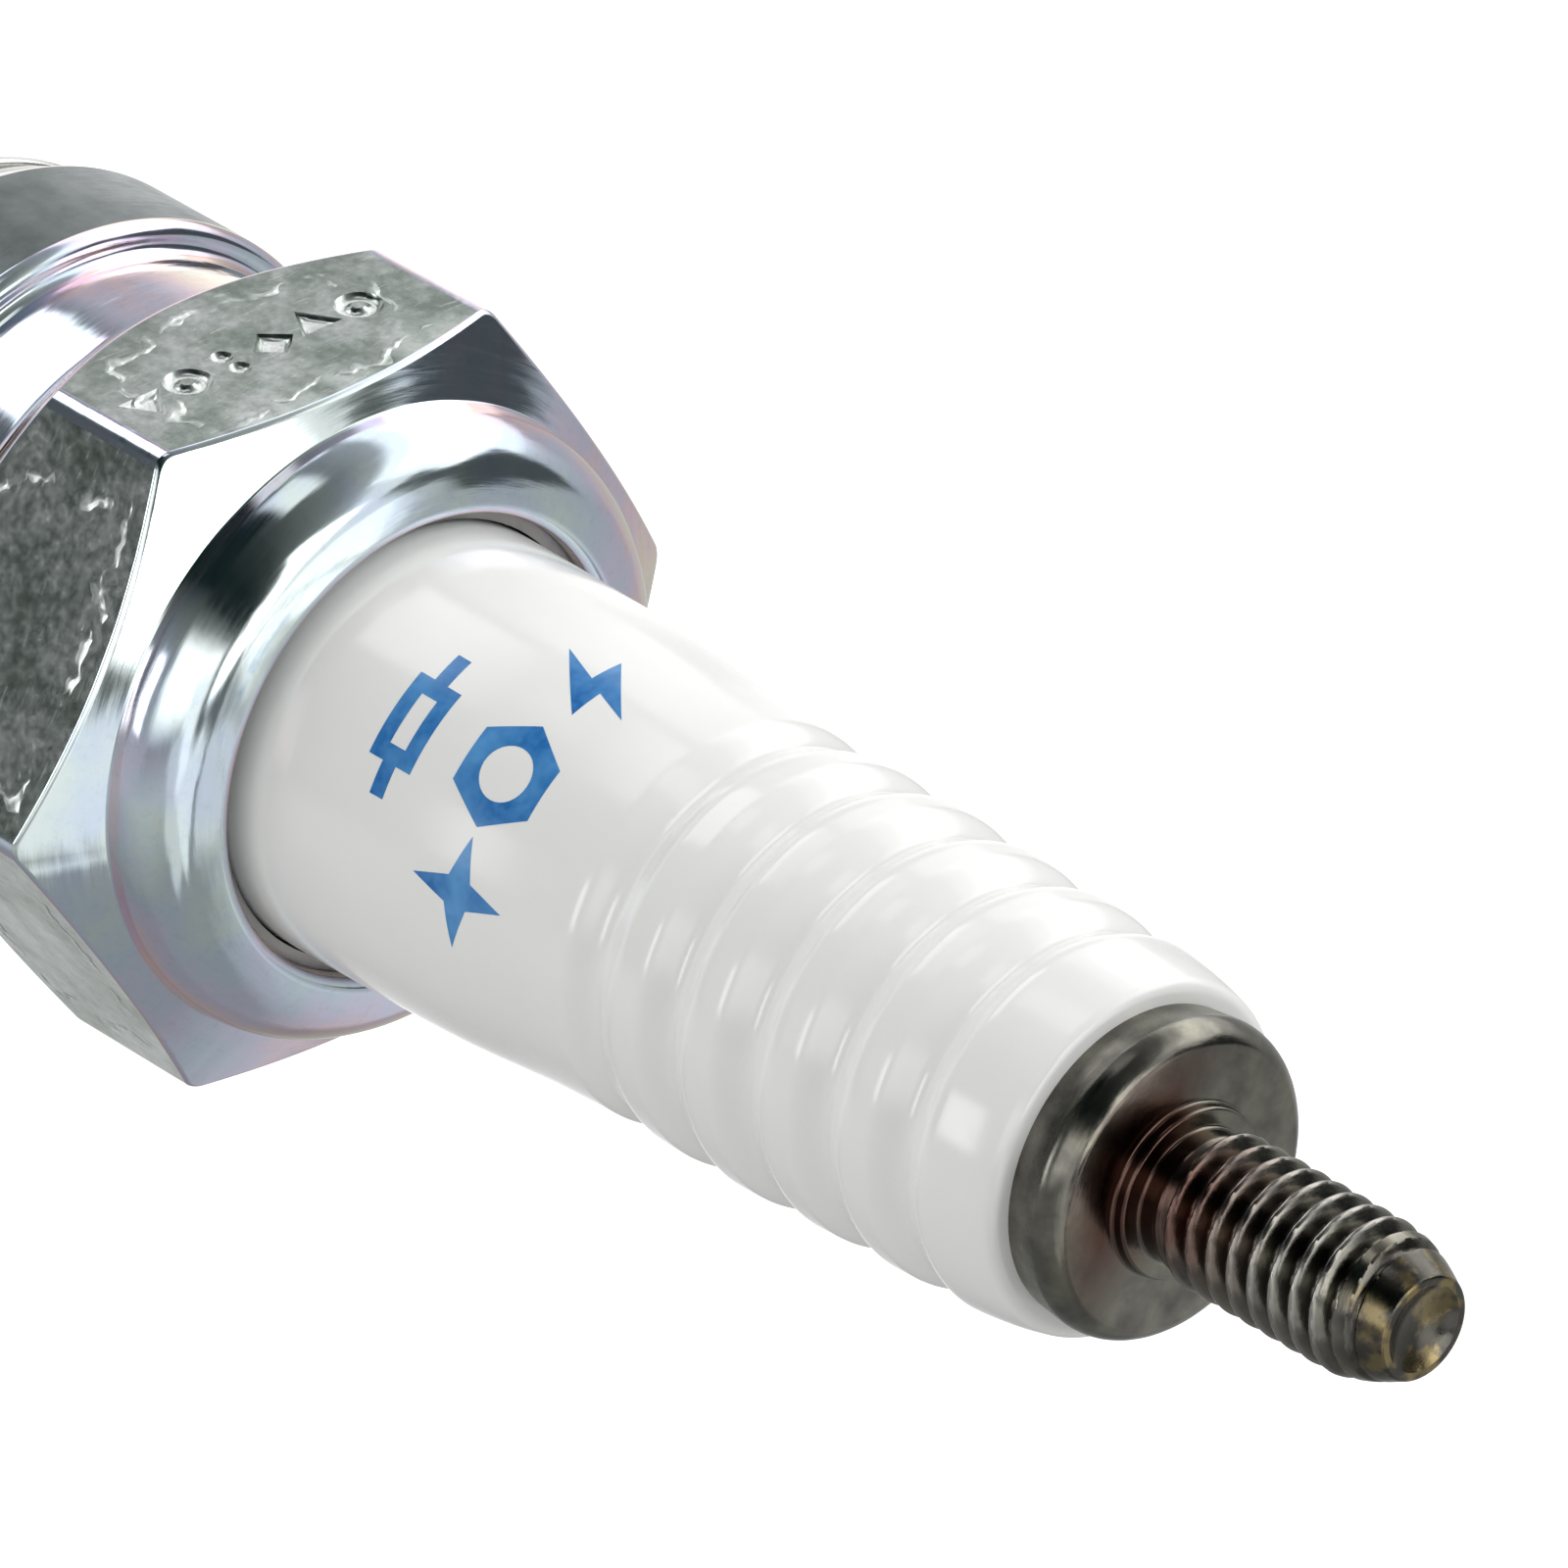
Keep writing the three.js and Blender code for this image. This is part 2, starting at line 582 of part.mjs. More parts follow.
const ZINC_PLATE = { color: 0xc9ccd0, roughness: 0.25, metalness: 1 };
const DARK_NICKEL = { color: 0x77736b, roughness: 0.35, metalness: 1 };
const GLAZED_ALUMINA = { color: 0xf3f2ee, roughness: 0.15, metalness: 0 };
const STEEL = { color: 0xa6a6a6, roughness: 0.45, metalness: 1 };
const TALC = { color: 0xdcd8cf, roughness: 0.95, metalness: 0 };
const CONDUCTIVE_GLASS = { color: 0x5a4a3c, roughness: 0.3, metalness: 0.2 };
const CARBON_RESISTOR = { color: 0x2b2b2b, roughness: 0.8, metalness: 0 };
const NICKEL_ALLOY = { color: 0xa19c92, roughness: 0.4, metalness: 1 };
const COPPER = { color: 0xc27b52, roughness: 0.35, metalness: 1 };

const PIECES = {
  terminal_stud: [terminalStud, DARK_NICKEL],
  insulator: [insulator, GLAZED_ALUMINA],
  metal_shell: [metalShell, ZINC_PLATE],
  upper_packing_ring: [upperPackingRing, STEEL],
  talc_packing: [talcPacking, TALC],
  lower_packing_ring: [lowerPackingRing, STEEL],
  seat_packing: [seatPacking, STEEL],
  upper_glass_seal: [upperGlassSeal, CONDUCTIVE_GLASS],
  resistor: [resistor, CARBON_RESISTOR],
  lower_glass_seal: [lowerGlassSeal, CONDUCTIVE_GLASS],
  centre_electrode: [centreElectrode, NICKEL_ALLOY],
  centre_electrode_core: [centreElectrodeCore, COPPER],
  ground_electrode: [groundElectrode, NICKEL_ALLOY],
  sealing_gasket: [sealingGasket, STEEL],
};

const sparkPlug = new THREE.Group();
for (const [name, [build, finish]] of Object.entries(PIECES)) {
  const piece = new THREE.Mesh(geometryFrom(build()), new THREE.MeshStandardMaterial(finish));
  piece.name = name;
  sparkPlug.add(piece);
}

export default sparkPlug;
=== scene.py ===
"""The looks of the spark plug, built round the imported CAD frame.

Outlines are in millimetres and become metres when a mesh is made. Places along the axis, and the sizes
that the CAD model holds, are read from the frame's boxes. +Z runs up the axis, towards the terminal.
"""

import math

import bpy
import numpy as np
from mathutils import Matrix, Vector
from mathutils.geometry import delaunay_2d_cdt


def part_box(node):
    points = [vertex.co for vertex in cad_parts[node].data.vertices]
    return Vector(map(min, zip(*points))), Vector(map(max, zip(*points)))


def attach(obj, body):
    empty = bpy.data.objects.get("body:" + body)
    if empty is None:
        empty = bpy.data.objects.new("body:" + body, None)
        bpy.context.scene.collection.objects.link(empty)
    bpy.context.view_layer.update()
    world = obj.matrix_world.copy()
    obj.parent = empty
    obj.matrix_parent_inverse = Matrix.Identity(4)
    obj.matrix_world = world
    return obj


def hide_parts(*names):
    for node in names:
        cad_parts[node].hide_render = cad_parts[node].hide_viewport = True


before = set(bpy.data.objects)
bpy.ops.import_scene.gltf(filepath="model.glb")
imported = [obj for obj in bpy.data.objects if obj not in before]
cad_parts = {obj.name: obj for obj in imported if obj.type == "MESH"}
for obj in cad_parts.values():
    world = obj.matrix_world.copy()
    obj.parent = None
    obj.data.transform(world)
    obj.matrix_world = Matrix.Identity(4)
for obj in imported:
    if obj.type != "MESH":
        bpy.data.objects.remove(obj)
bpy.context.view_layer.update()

MM = 0.001

# Places and sizes from the frame


def box_mm(node):
    """A node's lowest and highest corners at rest, in millimetres."""
    low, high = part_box(node)
    return low / MM, high / MM


STUD_LOW, STUD_HIGH = box_mm("terminal_stud")
INSULATOR_LOW, INSULATOR_HIGH = box_mm("insulator")
SHELL_LOW, SHELL_HIGH = box_mm("metal_shell")
GASKET_LOW, GASKET_HIGH = box_mm("sealing_gasket")
TALC_LOW, TALC_HIGH = box_mm("talc_packing")
UPPER_RING_LOW, UPPER_RING_HIGH = box_mm("upper_packing_ring")
LOWER_RING_LOW, LOWER_RING_HIGH = box_mm("lower_packing_ring")
SEAT_WASHER_LOW, SEAT_WASHER_HIGH = box_mm("seat_packing")
RESISTOR_LOW, RESISTOR_HIGH = box_mm("resistor")
UPPER_SEAL_LOW, UPPER_SEAL_HIGH = box_mm("upper_glass_seal")
LOWER_SEAL_LOW, LOWER_SEAL_HIGH = box_mm("lower_glass_seal")
ELECTRODE_LOW, ELECTRODE_HIGH = box_mm("centre_electrode")
CORE_LOW, CORE_HIGH = box_mm("centre_electrode_core")
STRAP_LOW, STRAP_HIGH = box_mm("ground_electrode")

SHELL_END_Z = SHELL_LOW.z
SEAT_Z = GASKET_HIGH.z
CRIMP_TOP_Z = SHELL_HIGH.z
NOSE_Z = INSULATOR_LOW.z
FLANGE_LOW_Z = INSULATOR_HIGH.z
TOP_Z = STUD_HIGH.z
HALF_FLATS = SHELL_HIGH.y
HEX_CORNER_R = SHELL_HIGH.x
FLANGE_R = STUD_HIGH.y
UPPER_BORE_R = TALC_HIGH.y
MID_BODY_R = INSULATOR_HIGH.y
TERMINAL_BORE_R = RESISTOR_HIGH.y
HEAD_R = ELECTRODE_HIGH.y
CORE_R = CORE_HIGH.y
SPARK_GAP = 0.9
STRAP_THICKNESS = ELECTRODE_LOW.z - SPARK_GAP

# Sizes that the boxes don't give, as in the CAD model

FLANGE_HEIGHT = 1.6
FLANGE_Z = FLANGE_LOW_Z + FLANGE_HEIGHT
FLANGE_ROUNDING = 0.8
FLANGE_ROUNDING_END = math.radians(68)
STUD_THREAD_R = 1.96
STUD_THREAD = {"radius": STUD_THREAD_R, "pitch": 0.7}
STUD_FOOT_R = 2.2
STUD_FOOT_Z = FLANGE_Z + 0.35
STUD_NECK_R = 1.7
STUD_NECK_Z = FLANGE_Z + 0.8
STUD_TIP_R = 1.3
STUD_DIMPLE_R = STUD_TIP_R - 0.2
STUD_DIMPLE_DEPTH = 0.35
STUD_CONE_Z = TOP_Z - 1.8
STUD_RIM_HEIGHT = 0.2
STUD_RUN_IN = 0.7
# The side of the flange's face that gets a painted dark, reddish reflection of the thread
DARK_REFLECTION_AZIMUTH = math.radians(85)
SHANK_R = 1.75
SHANK_END_R = 1.55

SHELL_THREAD_R = 6.0
SHELL_THREAD = {"radius": SHELL_THREAD_R, "pitch": 1.25}
# The form of an ISO metric thread: its depth as a share of the pitch, and its flanks' slope
THREAD_DEPTH = 0.6134
THREAD_FLANK = math.radians(30)
THREAD_LEAD = 0.9
TWELFTH = math.radians(30)
# The rounding of the hexagon's corners, and half the angle that its flat sides take up
HEX_ROUNDING = (HALF_FLATS / math.cos(TWELFTH) - HEX_CORNER_R) / (1 / math.cos(TWELFTH) - 1)
HALF_FLAT_ANGLE = math.atan((HALF_FLATS - HEX_ROUNDING) * math.tan(TWELFTH) / HALF_FLATS)
HEX_LOW_Z = SEAT_Z + 9.8
HEX_HIGH_Z = SEAT_Z + 14.0
# The painted highlight line on the hexagon's sides, along a slight ridge: how far it lies from their edges,
# and half its width
HIGHLIGHT_LINE_IN = 0.75
HIGHLIGHT_LINE_HALF = 0.16
COLLAR_R = 8.75
COLLAR_Z = SEAT_Z + 4.25
COLLAR_ROUNDING = 0.4
SHELL_NECK_R = 8.0
NECK_FILLET = 0.8
HEX_EDGE_ROUNDING = 0.2
CRIMP_R = 8.25
CRIMP_ROUNDING = 1.7
LIP_R = 6.1
LIP_SLOPE = 0.3
LIP_ROUNDING = 0.28
HIGH_SLOPE = 0.517
LOWER_BORE_R = 4.2
LEDGE_R = 3.3
LEDGE_Z = SEAT_Z - 8.2
LEDGE_LENGTH = 2.4
FIRING_BORE_R = 3.9
UNDERCUT_R = 5.35
UNDERCUT_Z = SEAT_Z - 2.6

INSULATOR_TOP_R = 4.5
TRUNK_R = 5.73
GROOVE_COUNT = 5
GROOVE_PITCH = 2.63
GROOVE_FIRST_Z = FLANGE_Z - 4.6
GROOVE_DEPTH = 0.35
GROOVE_HALF_WIDTH = 1.0
LOWER_TRUNK_R = 4.05
NOSE_BASE_R = 2.9
NOSE_TIP_R = 2.2
ELECTRODE_BORE_R = 1.3
ELECTRODE_R = 1.25
HEAD_Z = ELECTRODE_HIGH.z - 1.4
GLAZE_ENDS_Z = SEAT_Z + 8.0

STRAP_BEND_R = 0.9
STRAP_ROUNDING = 0.22
WELD_FLARE = 0.1
WELD_HEIGHT = 0.35

GASKET_SHEET = 0.4
GASKET_IN_R = 5.8
GASKET_OUT_R = 8.4

CLEARANCE = 0.05

# Faceting of the fine meshes
ARC_STEPS = 8
TURN_STEPS = 192
STUD_STEPS = 160
STEPS_PER_PITCH = 20
FLAT_STEPS = 32
CORNER_STEPS = 8
TRUNK_ROWS = 260

# Outlines: lists of (radius, height), where either may be an array over the angles of a turn


def full_turn(steps=TURN_STEPS):
    return np.linspace(0, 2 * math.pi, steps, endpoint=False)


def arc(centre_r, centre_z, radius, start, end, steps=ARC_STEPS):
    """Points of an arc between two angles in radians. The centre and the angles may be arrays."""
    points = []
    for step in range(steps + 1):
        angle = start + (end - start) * step / steps
        points.append((centre_r + radius * np.cos(angle), centre_z + radius * np.sin(angle)))
    return points


def outline(corners, steps=ARC_STEPS):
    """Corners are (radius, height) or (radius, height, rounding). A rounded corner becomes an arc."""
    places = [np.array(np.broadcast_arrays(*corner[:2]), float) for corner in corners]
    points = []
    for i, corner in enumerate(corners):
        if len(corner) < 3:
            points.append(tuple(places[i]))
            continue
        rounding = corner[2]
        near = [places[i - 1], places[i], places[(i + 1) % len(places)]]
        widest = max(place.ndim for place in near)
        back, here, on = (place if place.ndim == widest else place[:, None] for place in near)
        to_back = (back - here) / np.linalg.norm(back - here, axis=0)
        to_on = (on - here) / np.linalg.norm(on - here, axis=0)
        half = np.arccos(np.clip((to_back * to_on).sum(0), -1, 1)) / 2
        middle = (to_back + to_on) / np.linalg.norm(to_back + to_on, axis=0)
        centre = here + middle * rounding / np.sin(half)
        first = to_back * rounding / np.tan(half) - middle * rounding / np.sin(half)
        last = to_on * rounding / np.tan(half) - middle * rounding / np.sin(half)
        start = np.arctan2(first[1], first[0])
        sweep = np.arctan2(first[0] * last[1] - first[1] * last[0], (first * last).sum(0))
        points += arc(centre[0], centre[1], rounding, start, start + sweep, steps)
    return points


def smooth_step(value):
    """0 below 0, 1 above 1, and a smooth rise between them."""
    value = np.clip(value, 0, 1)
    return value * value * (3 - 2 * value)


def thread_radius(thread, z, angles):
    """A right-hand ISO metric thread with slightly rounded crests and roots."""
    depth = THREAD_DEPTH * thread["pitch"]
    from_crest = np.abs((z / thread["pitch"] - angles / (2 * math.pi) + 0.5) % 1 - 0.5)
    flank_start = 1 / 16
    flank_end = flank_start + THREAD_DEPTH * math.tan(THREAD_FLANK)
    fall = (from_crest - flank_start) / (flank_end - flank_start)
    softness = 0.08
    rounded = 0.5 * (np.sqrt(fall**2 + softness**2) - np.sqrt((fall - 1) ** 2 + softness**2) + 1)
    return thread["radius"] - depth * rounded


def thread_rows(thread, low_z, high_z, angles, envelope):
    """Rows of a thread cut from a bar whose radius at each height is given by envelope."""
    steps = round((high_z - low_z) / thread["pitch"] * STEPS_PER_PITCH)
    rows = []
    for z in np.linspace(low_z, high_z, steps + 1):
        rows.append((np.minimum(thread_radius(thread, z, angles), envelope(z)), z))
    return rows


def hexagon_angles():
    """Angles of a turn that put fine steps round each corner of the hexagon."""
    corner_half = TWELFTH - HALF_FLAT_ANGLE
    angles = []
    for side in range(6):
        normal = math.radians(30 + 60 * side)
        corner = normal + TWELFTH
        angles += list(np.linspace(normal - HALF_FLAT_ANGLE, normal + HALF_FLAT_ANGLE, FLAT_STEPS + 1)[:-1])
        angles += list(np.linspace(corner - corner_half, corner + corner_half, CORNER_STEPS + 1)[:-1])
    return np.array(angles)


def hexagon_radius(angles):
    """Distance from the axis to the side of a hexagon with rounded corners."""
    from_normal = np.abs((angles / math.radians(60)) % 1 - 0.5) * math.radians(60)
    from_corner = TWELFTH - from_normal
    centre = (HALF_FLATS - HEX_ROUNDING) / math.cos(TWELFTH)
    round_r = centre * np.cos(from_corner)
    round_r = round_r + np.sqrt(np.maximum(HEX_ROUNDING**2 - (centre * np.sin(from_corner)) ** 2, 0))
    return np.where(from_normal <= HALF_FLAT_ANGLE, HALF_FLATS / np.cos(from_normal), round_r)


# Meshes

SMOOTH_BELOW = math.radians(32)


def finish_piece(piece, body, nodes, materials):
    """Gives a piece its finish and its place in the frame."""
    for finish in materials:
        piece.data.materials.append(finish)
    piece.data.shade_smooth()
    piece.data.set_sharp_from_angle(angle=SMOOTH_BELOW)
    weights = piece.modifiers.new("weights", "WEIGHTED_NORMAL")
    weights.keep_sharp = True
    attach(piece, body)
    if nodes:
        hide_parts(*nodes)


def linked(name, data):
    thing = bpy.data.objects.new(name, data)
    bpy.context.scene.collection.objects.link(thing)
    return thing


def new_object(name, vertices_mm, faces, face_slots=None):
    mesh = bpy.data.meshes.new(name)
    mesh.from_pydata((np.asarray(vertices_mm) * MM).tolist(), [], faces)
    if face_slots is not None:
        mesh.polygons.foreach_set("material_index", np.asarray(face_slots, np.int32))
    mesh.validate()
    mesh.update()
    return linked(name, mesh)


def turned_mesh(points, angles, slots=None):
    """Vertices, faces and material slots of a body turned from an outline that runs up its outside.

    The outline closes on itself or runs from axis to axis. slots gives each of its stretches a material.
    """
    rows = [(np.broadcast_to(r, angles.shape), np.broadcast_to(z, angles.shape)) for r, z in points]
    solid = rows[0][0].max() < 1e-9
    vertices, row_start = [], []
    for i, (r, z) in enumerate(rows):
        row_start.append(len(vertices))
        if solid and i in (0, len(rows) - 1):
            vertices.append((0, 0, z[0]))
        else:
            vertices += list(zip(r * np.cos(angles), r * np.sin(angles), z, strict=True))
    count = len(angles)
    faces, face_slots = [], []
    for i in range(len(rows) if not solid else len(rows) - 1):
        low, high = row_start[i], row_start[(i + 1) % len(rows)]
        for j in range(count):
            k = (j + 1) % count
            if solid and i == 0:
                faces.append((low, high + k, high + j))
            elif solid and i == len(rows) - 2:
                faces.append((low + j, low + k, high))
            else:
                faces.append((low + j, low + k, high + k, high + j))
            face_slots.append(slots[i] if slots else 0)
    return vertices, faces, face_slots


def band(low, high):
    """Faces between two closed rings of vertices, given as their places."""
    count = len(low)
    return [(low[i], low[(i + 1) % count], high[(i + 1) % count], high[i]) for i in range(count)]


def turned(name, points, angles=None, slots=None):
    return new_object(name, *turned_mesh(points, full_turn() if angles is None else angles, slots))


# Marks: closed loops of (across, up) points in millimetres. A loop round a mark runs counterclockwise and a
# loop round a hole in it clockwise, so that the mark is on the left.


def dense(loop, longest=0.12):
    """The same loop with no edge longer than a limit."""
    points = []
    for here, there in zip(loop, loop[1:] + loop[:1], strict=True):
        here, there = Vector(here), Vector(there)
        count = max(1, math.ceil((there - here).length / longest))
        points += [tuple(here.lerp(there, step / count)) for step in range(count)]
    return points


def round_loop(radius, count, centre=(0, 0), turn=0.0):
    """A regular polygon, or a circle when it has many corners."""
    angles = [2 * math.pi * (step + turn) / count for step in range(count)]
    return [(centre[0] + radius * math.cos(a), centre[1] + radius * math.sin(a)) for a in angles]


def box_loop(width, height):
    x, y = width / 2, height / 2
    return [(-x, -y), (x, -y), (x, y), (-x, y)]


def moved(loops, across):
    return [[(x + across, y) for x, y in loop] for loop in loops]


def inset(loop, distance):
    """The loop moved towards its left by a distance."""
    points = np.array(loop)
    into = points - np.roll(points, 1, axis=0)
    out = np.roll(points, -1, axis=0) - points
    into /= np.linalg.norm(into, axis=1, keepdims=True)
    out /= np.linalg.norm(out, axis=1, keepdims=True)
    left_in = np.stack([-into[:, 1], into[:, 0]], axis=1)
    left_out = np.stack([-out[:, 1], out[:, 0]], axis=1)
    shift = (left_in + left_out) / (1 + (left_in * left_out).sum(1, keepdims=True))
    return [tuple(point) for point in points + distance * shift]


def inside(point, loops):
    """Whether a point lies between loops, by counting the edges that a line to its right crosses."""
    crossings = 0
    for loop in loops:
        for (x0, y0), (x1, y1) in zip(loop, loop[1:] + loop[:1], strict=True):
            if (y0 > point[1]) != (y1 > point[1]):
                crossings += point[0] < x0 + (x1 - x0) * (point[1] - y0) / (y1 - y0)
    return crossings % 2 == 1


def loop_edges(loops):
    """The loops' edges, as pairs of places in the list of their points."""
    edges, start = [], 0
    for loop in loops:
        edges += [(start + i, start + (i + 1) % len(loop)) for i in range(len(loop))]
        start += len(loop)
    return edges


def fill(loops, extra=()):
    """Triangles between loops, as places in the list of the loops' points and then the extra ones."""
    points = [point for loop in loops for point in loop] + list(extra)
    result = delaunay_2d_cdt([Vector(point) for point in points], loop_edges(loops), [], 0, 1e-7)
    triangles = []
    for face in result[2]:
        corners = [result[3][i][0] for i in face]
        middle = np.mean([points[i] for i in corners], axis=0)
        if inside(middle, loops):
            triangles.append(tuple(corners))
    return triangles


def grid_inside(loops, pitch=0.22, margin=0.07):
    """Points of a grid inside the loops, for marks that follow a round surface."""
    edge_points = np.array([point for loop in loops for point in loop])
    low, high = edge_points.min(0), edge_points.max(0)
    points = []
    for x in np.arange(low[0] + pitch / 2, high[0], pitch):
        for y in np.arange(low[1] + pitch / 2, high[1], pitch):
            clear = np.linalg.norm(edge_points - (x, y), axis=1).min() > margin
            if clear and inside((x, y), loops):
                points.append((x, y))
    return points


# Materials. Each is made of nodes, with coordinates in millimetres in the frame.


class Shader:
    """A node material under construction, with short names for the nodes that it uses most."""

    def __init__(self, name):
        self.material = bpy.data.materials.new(name)
        self.material.use_nodes = True
        self.tree = self.material.node_tree
        self.tree.nodes.clear()
        output = self.tree.nodes.new("ShaderNodeOutputMaterial")
        self.surface = self.tree.nodes.new("ShaderNodeBsdfPrincipled")
        self.tree.links.new(self.surface.outputs[0], output.inputs["Surface"])
        self.mm = self.stretched(self.add("ShaderNodeTexCoord").outputs["Object"], (1 / MM, 1 / MM, 1 / MM))

    @classmethod
    def for_world(cls, world):
        shader = cls.__new__(cls)
        shader.tree = world.node_tree
        shader.tree.nodes.clear()
        return shader

    def feed(self, socket, value):
        if isinstance(value, bpy.types.NodeSocket):
            self.tree.links.new(value, socket)
        else:
            socket.default_value = value

    def add(self, kind, inputs=None, **settings):
        node = self.tree.nodes.new(kind)
        for key, value in settings.items():
            setattr(node, key, value)
        for key, value in (inputs or {}).items():
            self.feed(node.inputs[key], value)
        return node

    def stretched(self, vector, factors):
        node = self.add("ShaderNodeVectorMath", operation="MULTIPLY")
        self.feed(node.inputs[0], vector)
        self.feed(node.inputs[1], factors)
        return node.outputs["Vector"]

    def math(self, operation, *values):
        node = self.add("ShaderNodeMath", operation=operation)
        for socket, value in zip(node.inputs, values, strict=False):
            self.feed(socket, value)
        return node.outputs[0]

    def plus(self, a, b):
        return self.math("ADD", a, b)

    def minus(self, a, b):
        return self.math("SUBTRACT", a, b)

    def times(self, a, b):
        return self.math("MULTIPLY", a, b)

    def axes(self):
        """x, y and z in millimetres."""
        return self.add("ShaderNodeSeparateXYZ", {"Vector": self.mm}).outputs

    def from_axis(self, x, y):
        return self.math("SQRT", self.plus(self.times(x, x), self.times(y, y)))

    def noise(self, scale, detail=3.0, roughness=0.5, vector=None):
        inputs = {"Vector": vector or self.mm, "Scale": scale, "Detail": detail, "Roughness": roughness}
        return self.add("ShaderNodeTexNoise", inputs).outputs["Fac"]

    def stretch(self, value, low, high, to_low=0.0, to_high=1.0):
        """The value with the range from low to high mapped to another range, and held at its ends."""
        inputs = {"Value": value, "From Min": low, "From Max": high, "To Min": to_low, "To Max": to_high}
        return self.add("ShaderNodeMapRange", inputs).outputs["Result"]

    def spread(self, noise, to_low=0.0, to_high=1.0):
        """The middle of a noise's range mapped to another range."""
        return self.stretch(noise, 0.3, 0.7, to_low, to_high)

    def mix(self, share, a, b, blend="MIX"):
        node = self.add("ShaderNodeMix", data_type="RGBA", blend_type=blend)
        self.feed(node.inputs["Factor"], share)
        self.feed(node.inputs["A"], a)
        self.feed(node.inputs["B"], b)
        return node.outputs["Result"]

    def ramp(self, value, stops):
        node = self.add("ShaderNodeValToRGB", {"Fac": value})
        elements = node.color_ramp.elements
        while len(elements) < len(stops):
            elements.new(0.5)
        for element, (place, colour) in zip(elements, stops, strict=True):
            element.position = place
            element.color = colour
        return node.outputs["Color"]

    def turned_coordinates(self, along_turn):
        """(radius, height, angle) in millimetres, with the angle's scale given, for marks that run round."""
        x, y, z = self.axes()
        angle = self.times(self.math("ARCTAN2", y, x), along_turn)
        return self.add("ShaderNodeCombineXYZ", {"X": self.from_axis(x, y), "Y": z, "Z": angle}).outputs[0]

    def bump(self, height, depth_mm, strength=1.0, normal=None):
        inputs = {"Height": height, "Distance": depth_mm * MM, "Strength": strength}
        if normal is not None:
            inputs["Normal"] = normal
        return self.add("ShaderNodeBump", inputs).outputs["Normal"]

    def metal(self, tint, rough, **inputs):
        return self.finish(Base_Color=tint, Metallic=1.0, Roughness=rough, **inputs)

    def finish(self, **inputs):
        for key, value in inputs.items():
            self.feed(self.surface.inputs[key.replace("_", " ")], value)
        return self.material


def grey(value):
    return (value, value, value, 1)


def plate_tint(s, share):
    """The faint play of colour of thin bright plate."""
    return s.ramp(share, [
        (0.20, (0.80, 0.85, 0.85, 1)),
        (0.36, (0.74, 0.84, 0.83, 1)),
        (0.46, (0.67, 0.77, 0.89, 1)),
        (0.56, (0.77, 0.74, 0.91, 1)),
        (0.66, (0.92, 0.73, 0.79, 1)),
        (0.76, (0.93, 0.80, 0.68, 1)),
        (0.90, (0.77, 0.86, 0.80, 1)),
    ])


def plated_turned():
    """Bright zinc plate on a turned surface: fine tool marks and soft ripples that run round."""
    s = Shader("plated_turned")
    round_marks = s.noise(9, 4, 0.6, s.turned_coordinates(0.6))
    ripples = s.noise(1.0, 2, 0.5, s.turned_coordinates(2.4))
    specks = s.stretch(s.noise(4, 5, 0.7), 0.52, 0.72)
    facing = s.add("ShaderNodeLayerWeight", {"Blend": 0.4}).outputs["Facing"]
    hue = s.plus(s.times(facing, 0.6), s.times(s.noise(0.3, 3, 0.6), 0.6))
    tint = s.mix(s.times(specks, 0.14), plate_tint(s, hue), (0.36, 0.39, 0.38, 1))
    rough = s.spread(round_marks, 0.07, 0.15)
    normal = s.bump(ripples, 0.05, 0.5, s.bump(round_marks, 0.004, 0.5))
    return s.metal(tint, rough, Normal=normal)


def plated_dull():
    """The collar's side: the same plate, left matt and grey by handling."""
    s = Shader("plated_dull")
    round_marks = s.noise(11, 4, 0.65, s.turned_coordinates(0.9))
    broad = s.noise(0.8, 4, 0.6)
    tint = s.mix(s.spread(broad), (0.15, 0.17, 0.175, 1), (0.25, 0.27, 0.27, 1))
    rough = s.spread(round_marks, 0.26, 0.40)
    return s.metal(tint, rough, Normal=s.bump(round_marks, 0.008, 0.6))


def struck_highlight_plate():
    """The floors of the punched marks: plate tinted near white, brighter than the rest, as a painted
    highlight, and rough enough to catch light from all round.
    """
    s = Shader("struck_highlight_plate")
    grain = s.noise(6, 4, 0.6)
    tint = s.mix(grain, (0.88, 0.91, 0.90, 1), (0.97, 0.98, 0.97, 1))
    return s.metal(tint, 0.42, Normal=s.bump(grain, 0.05, 0.8))


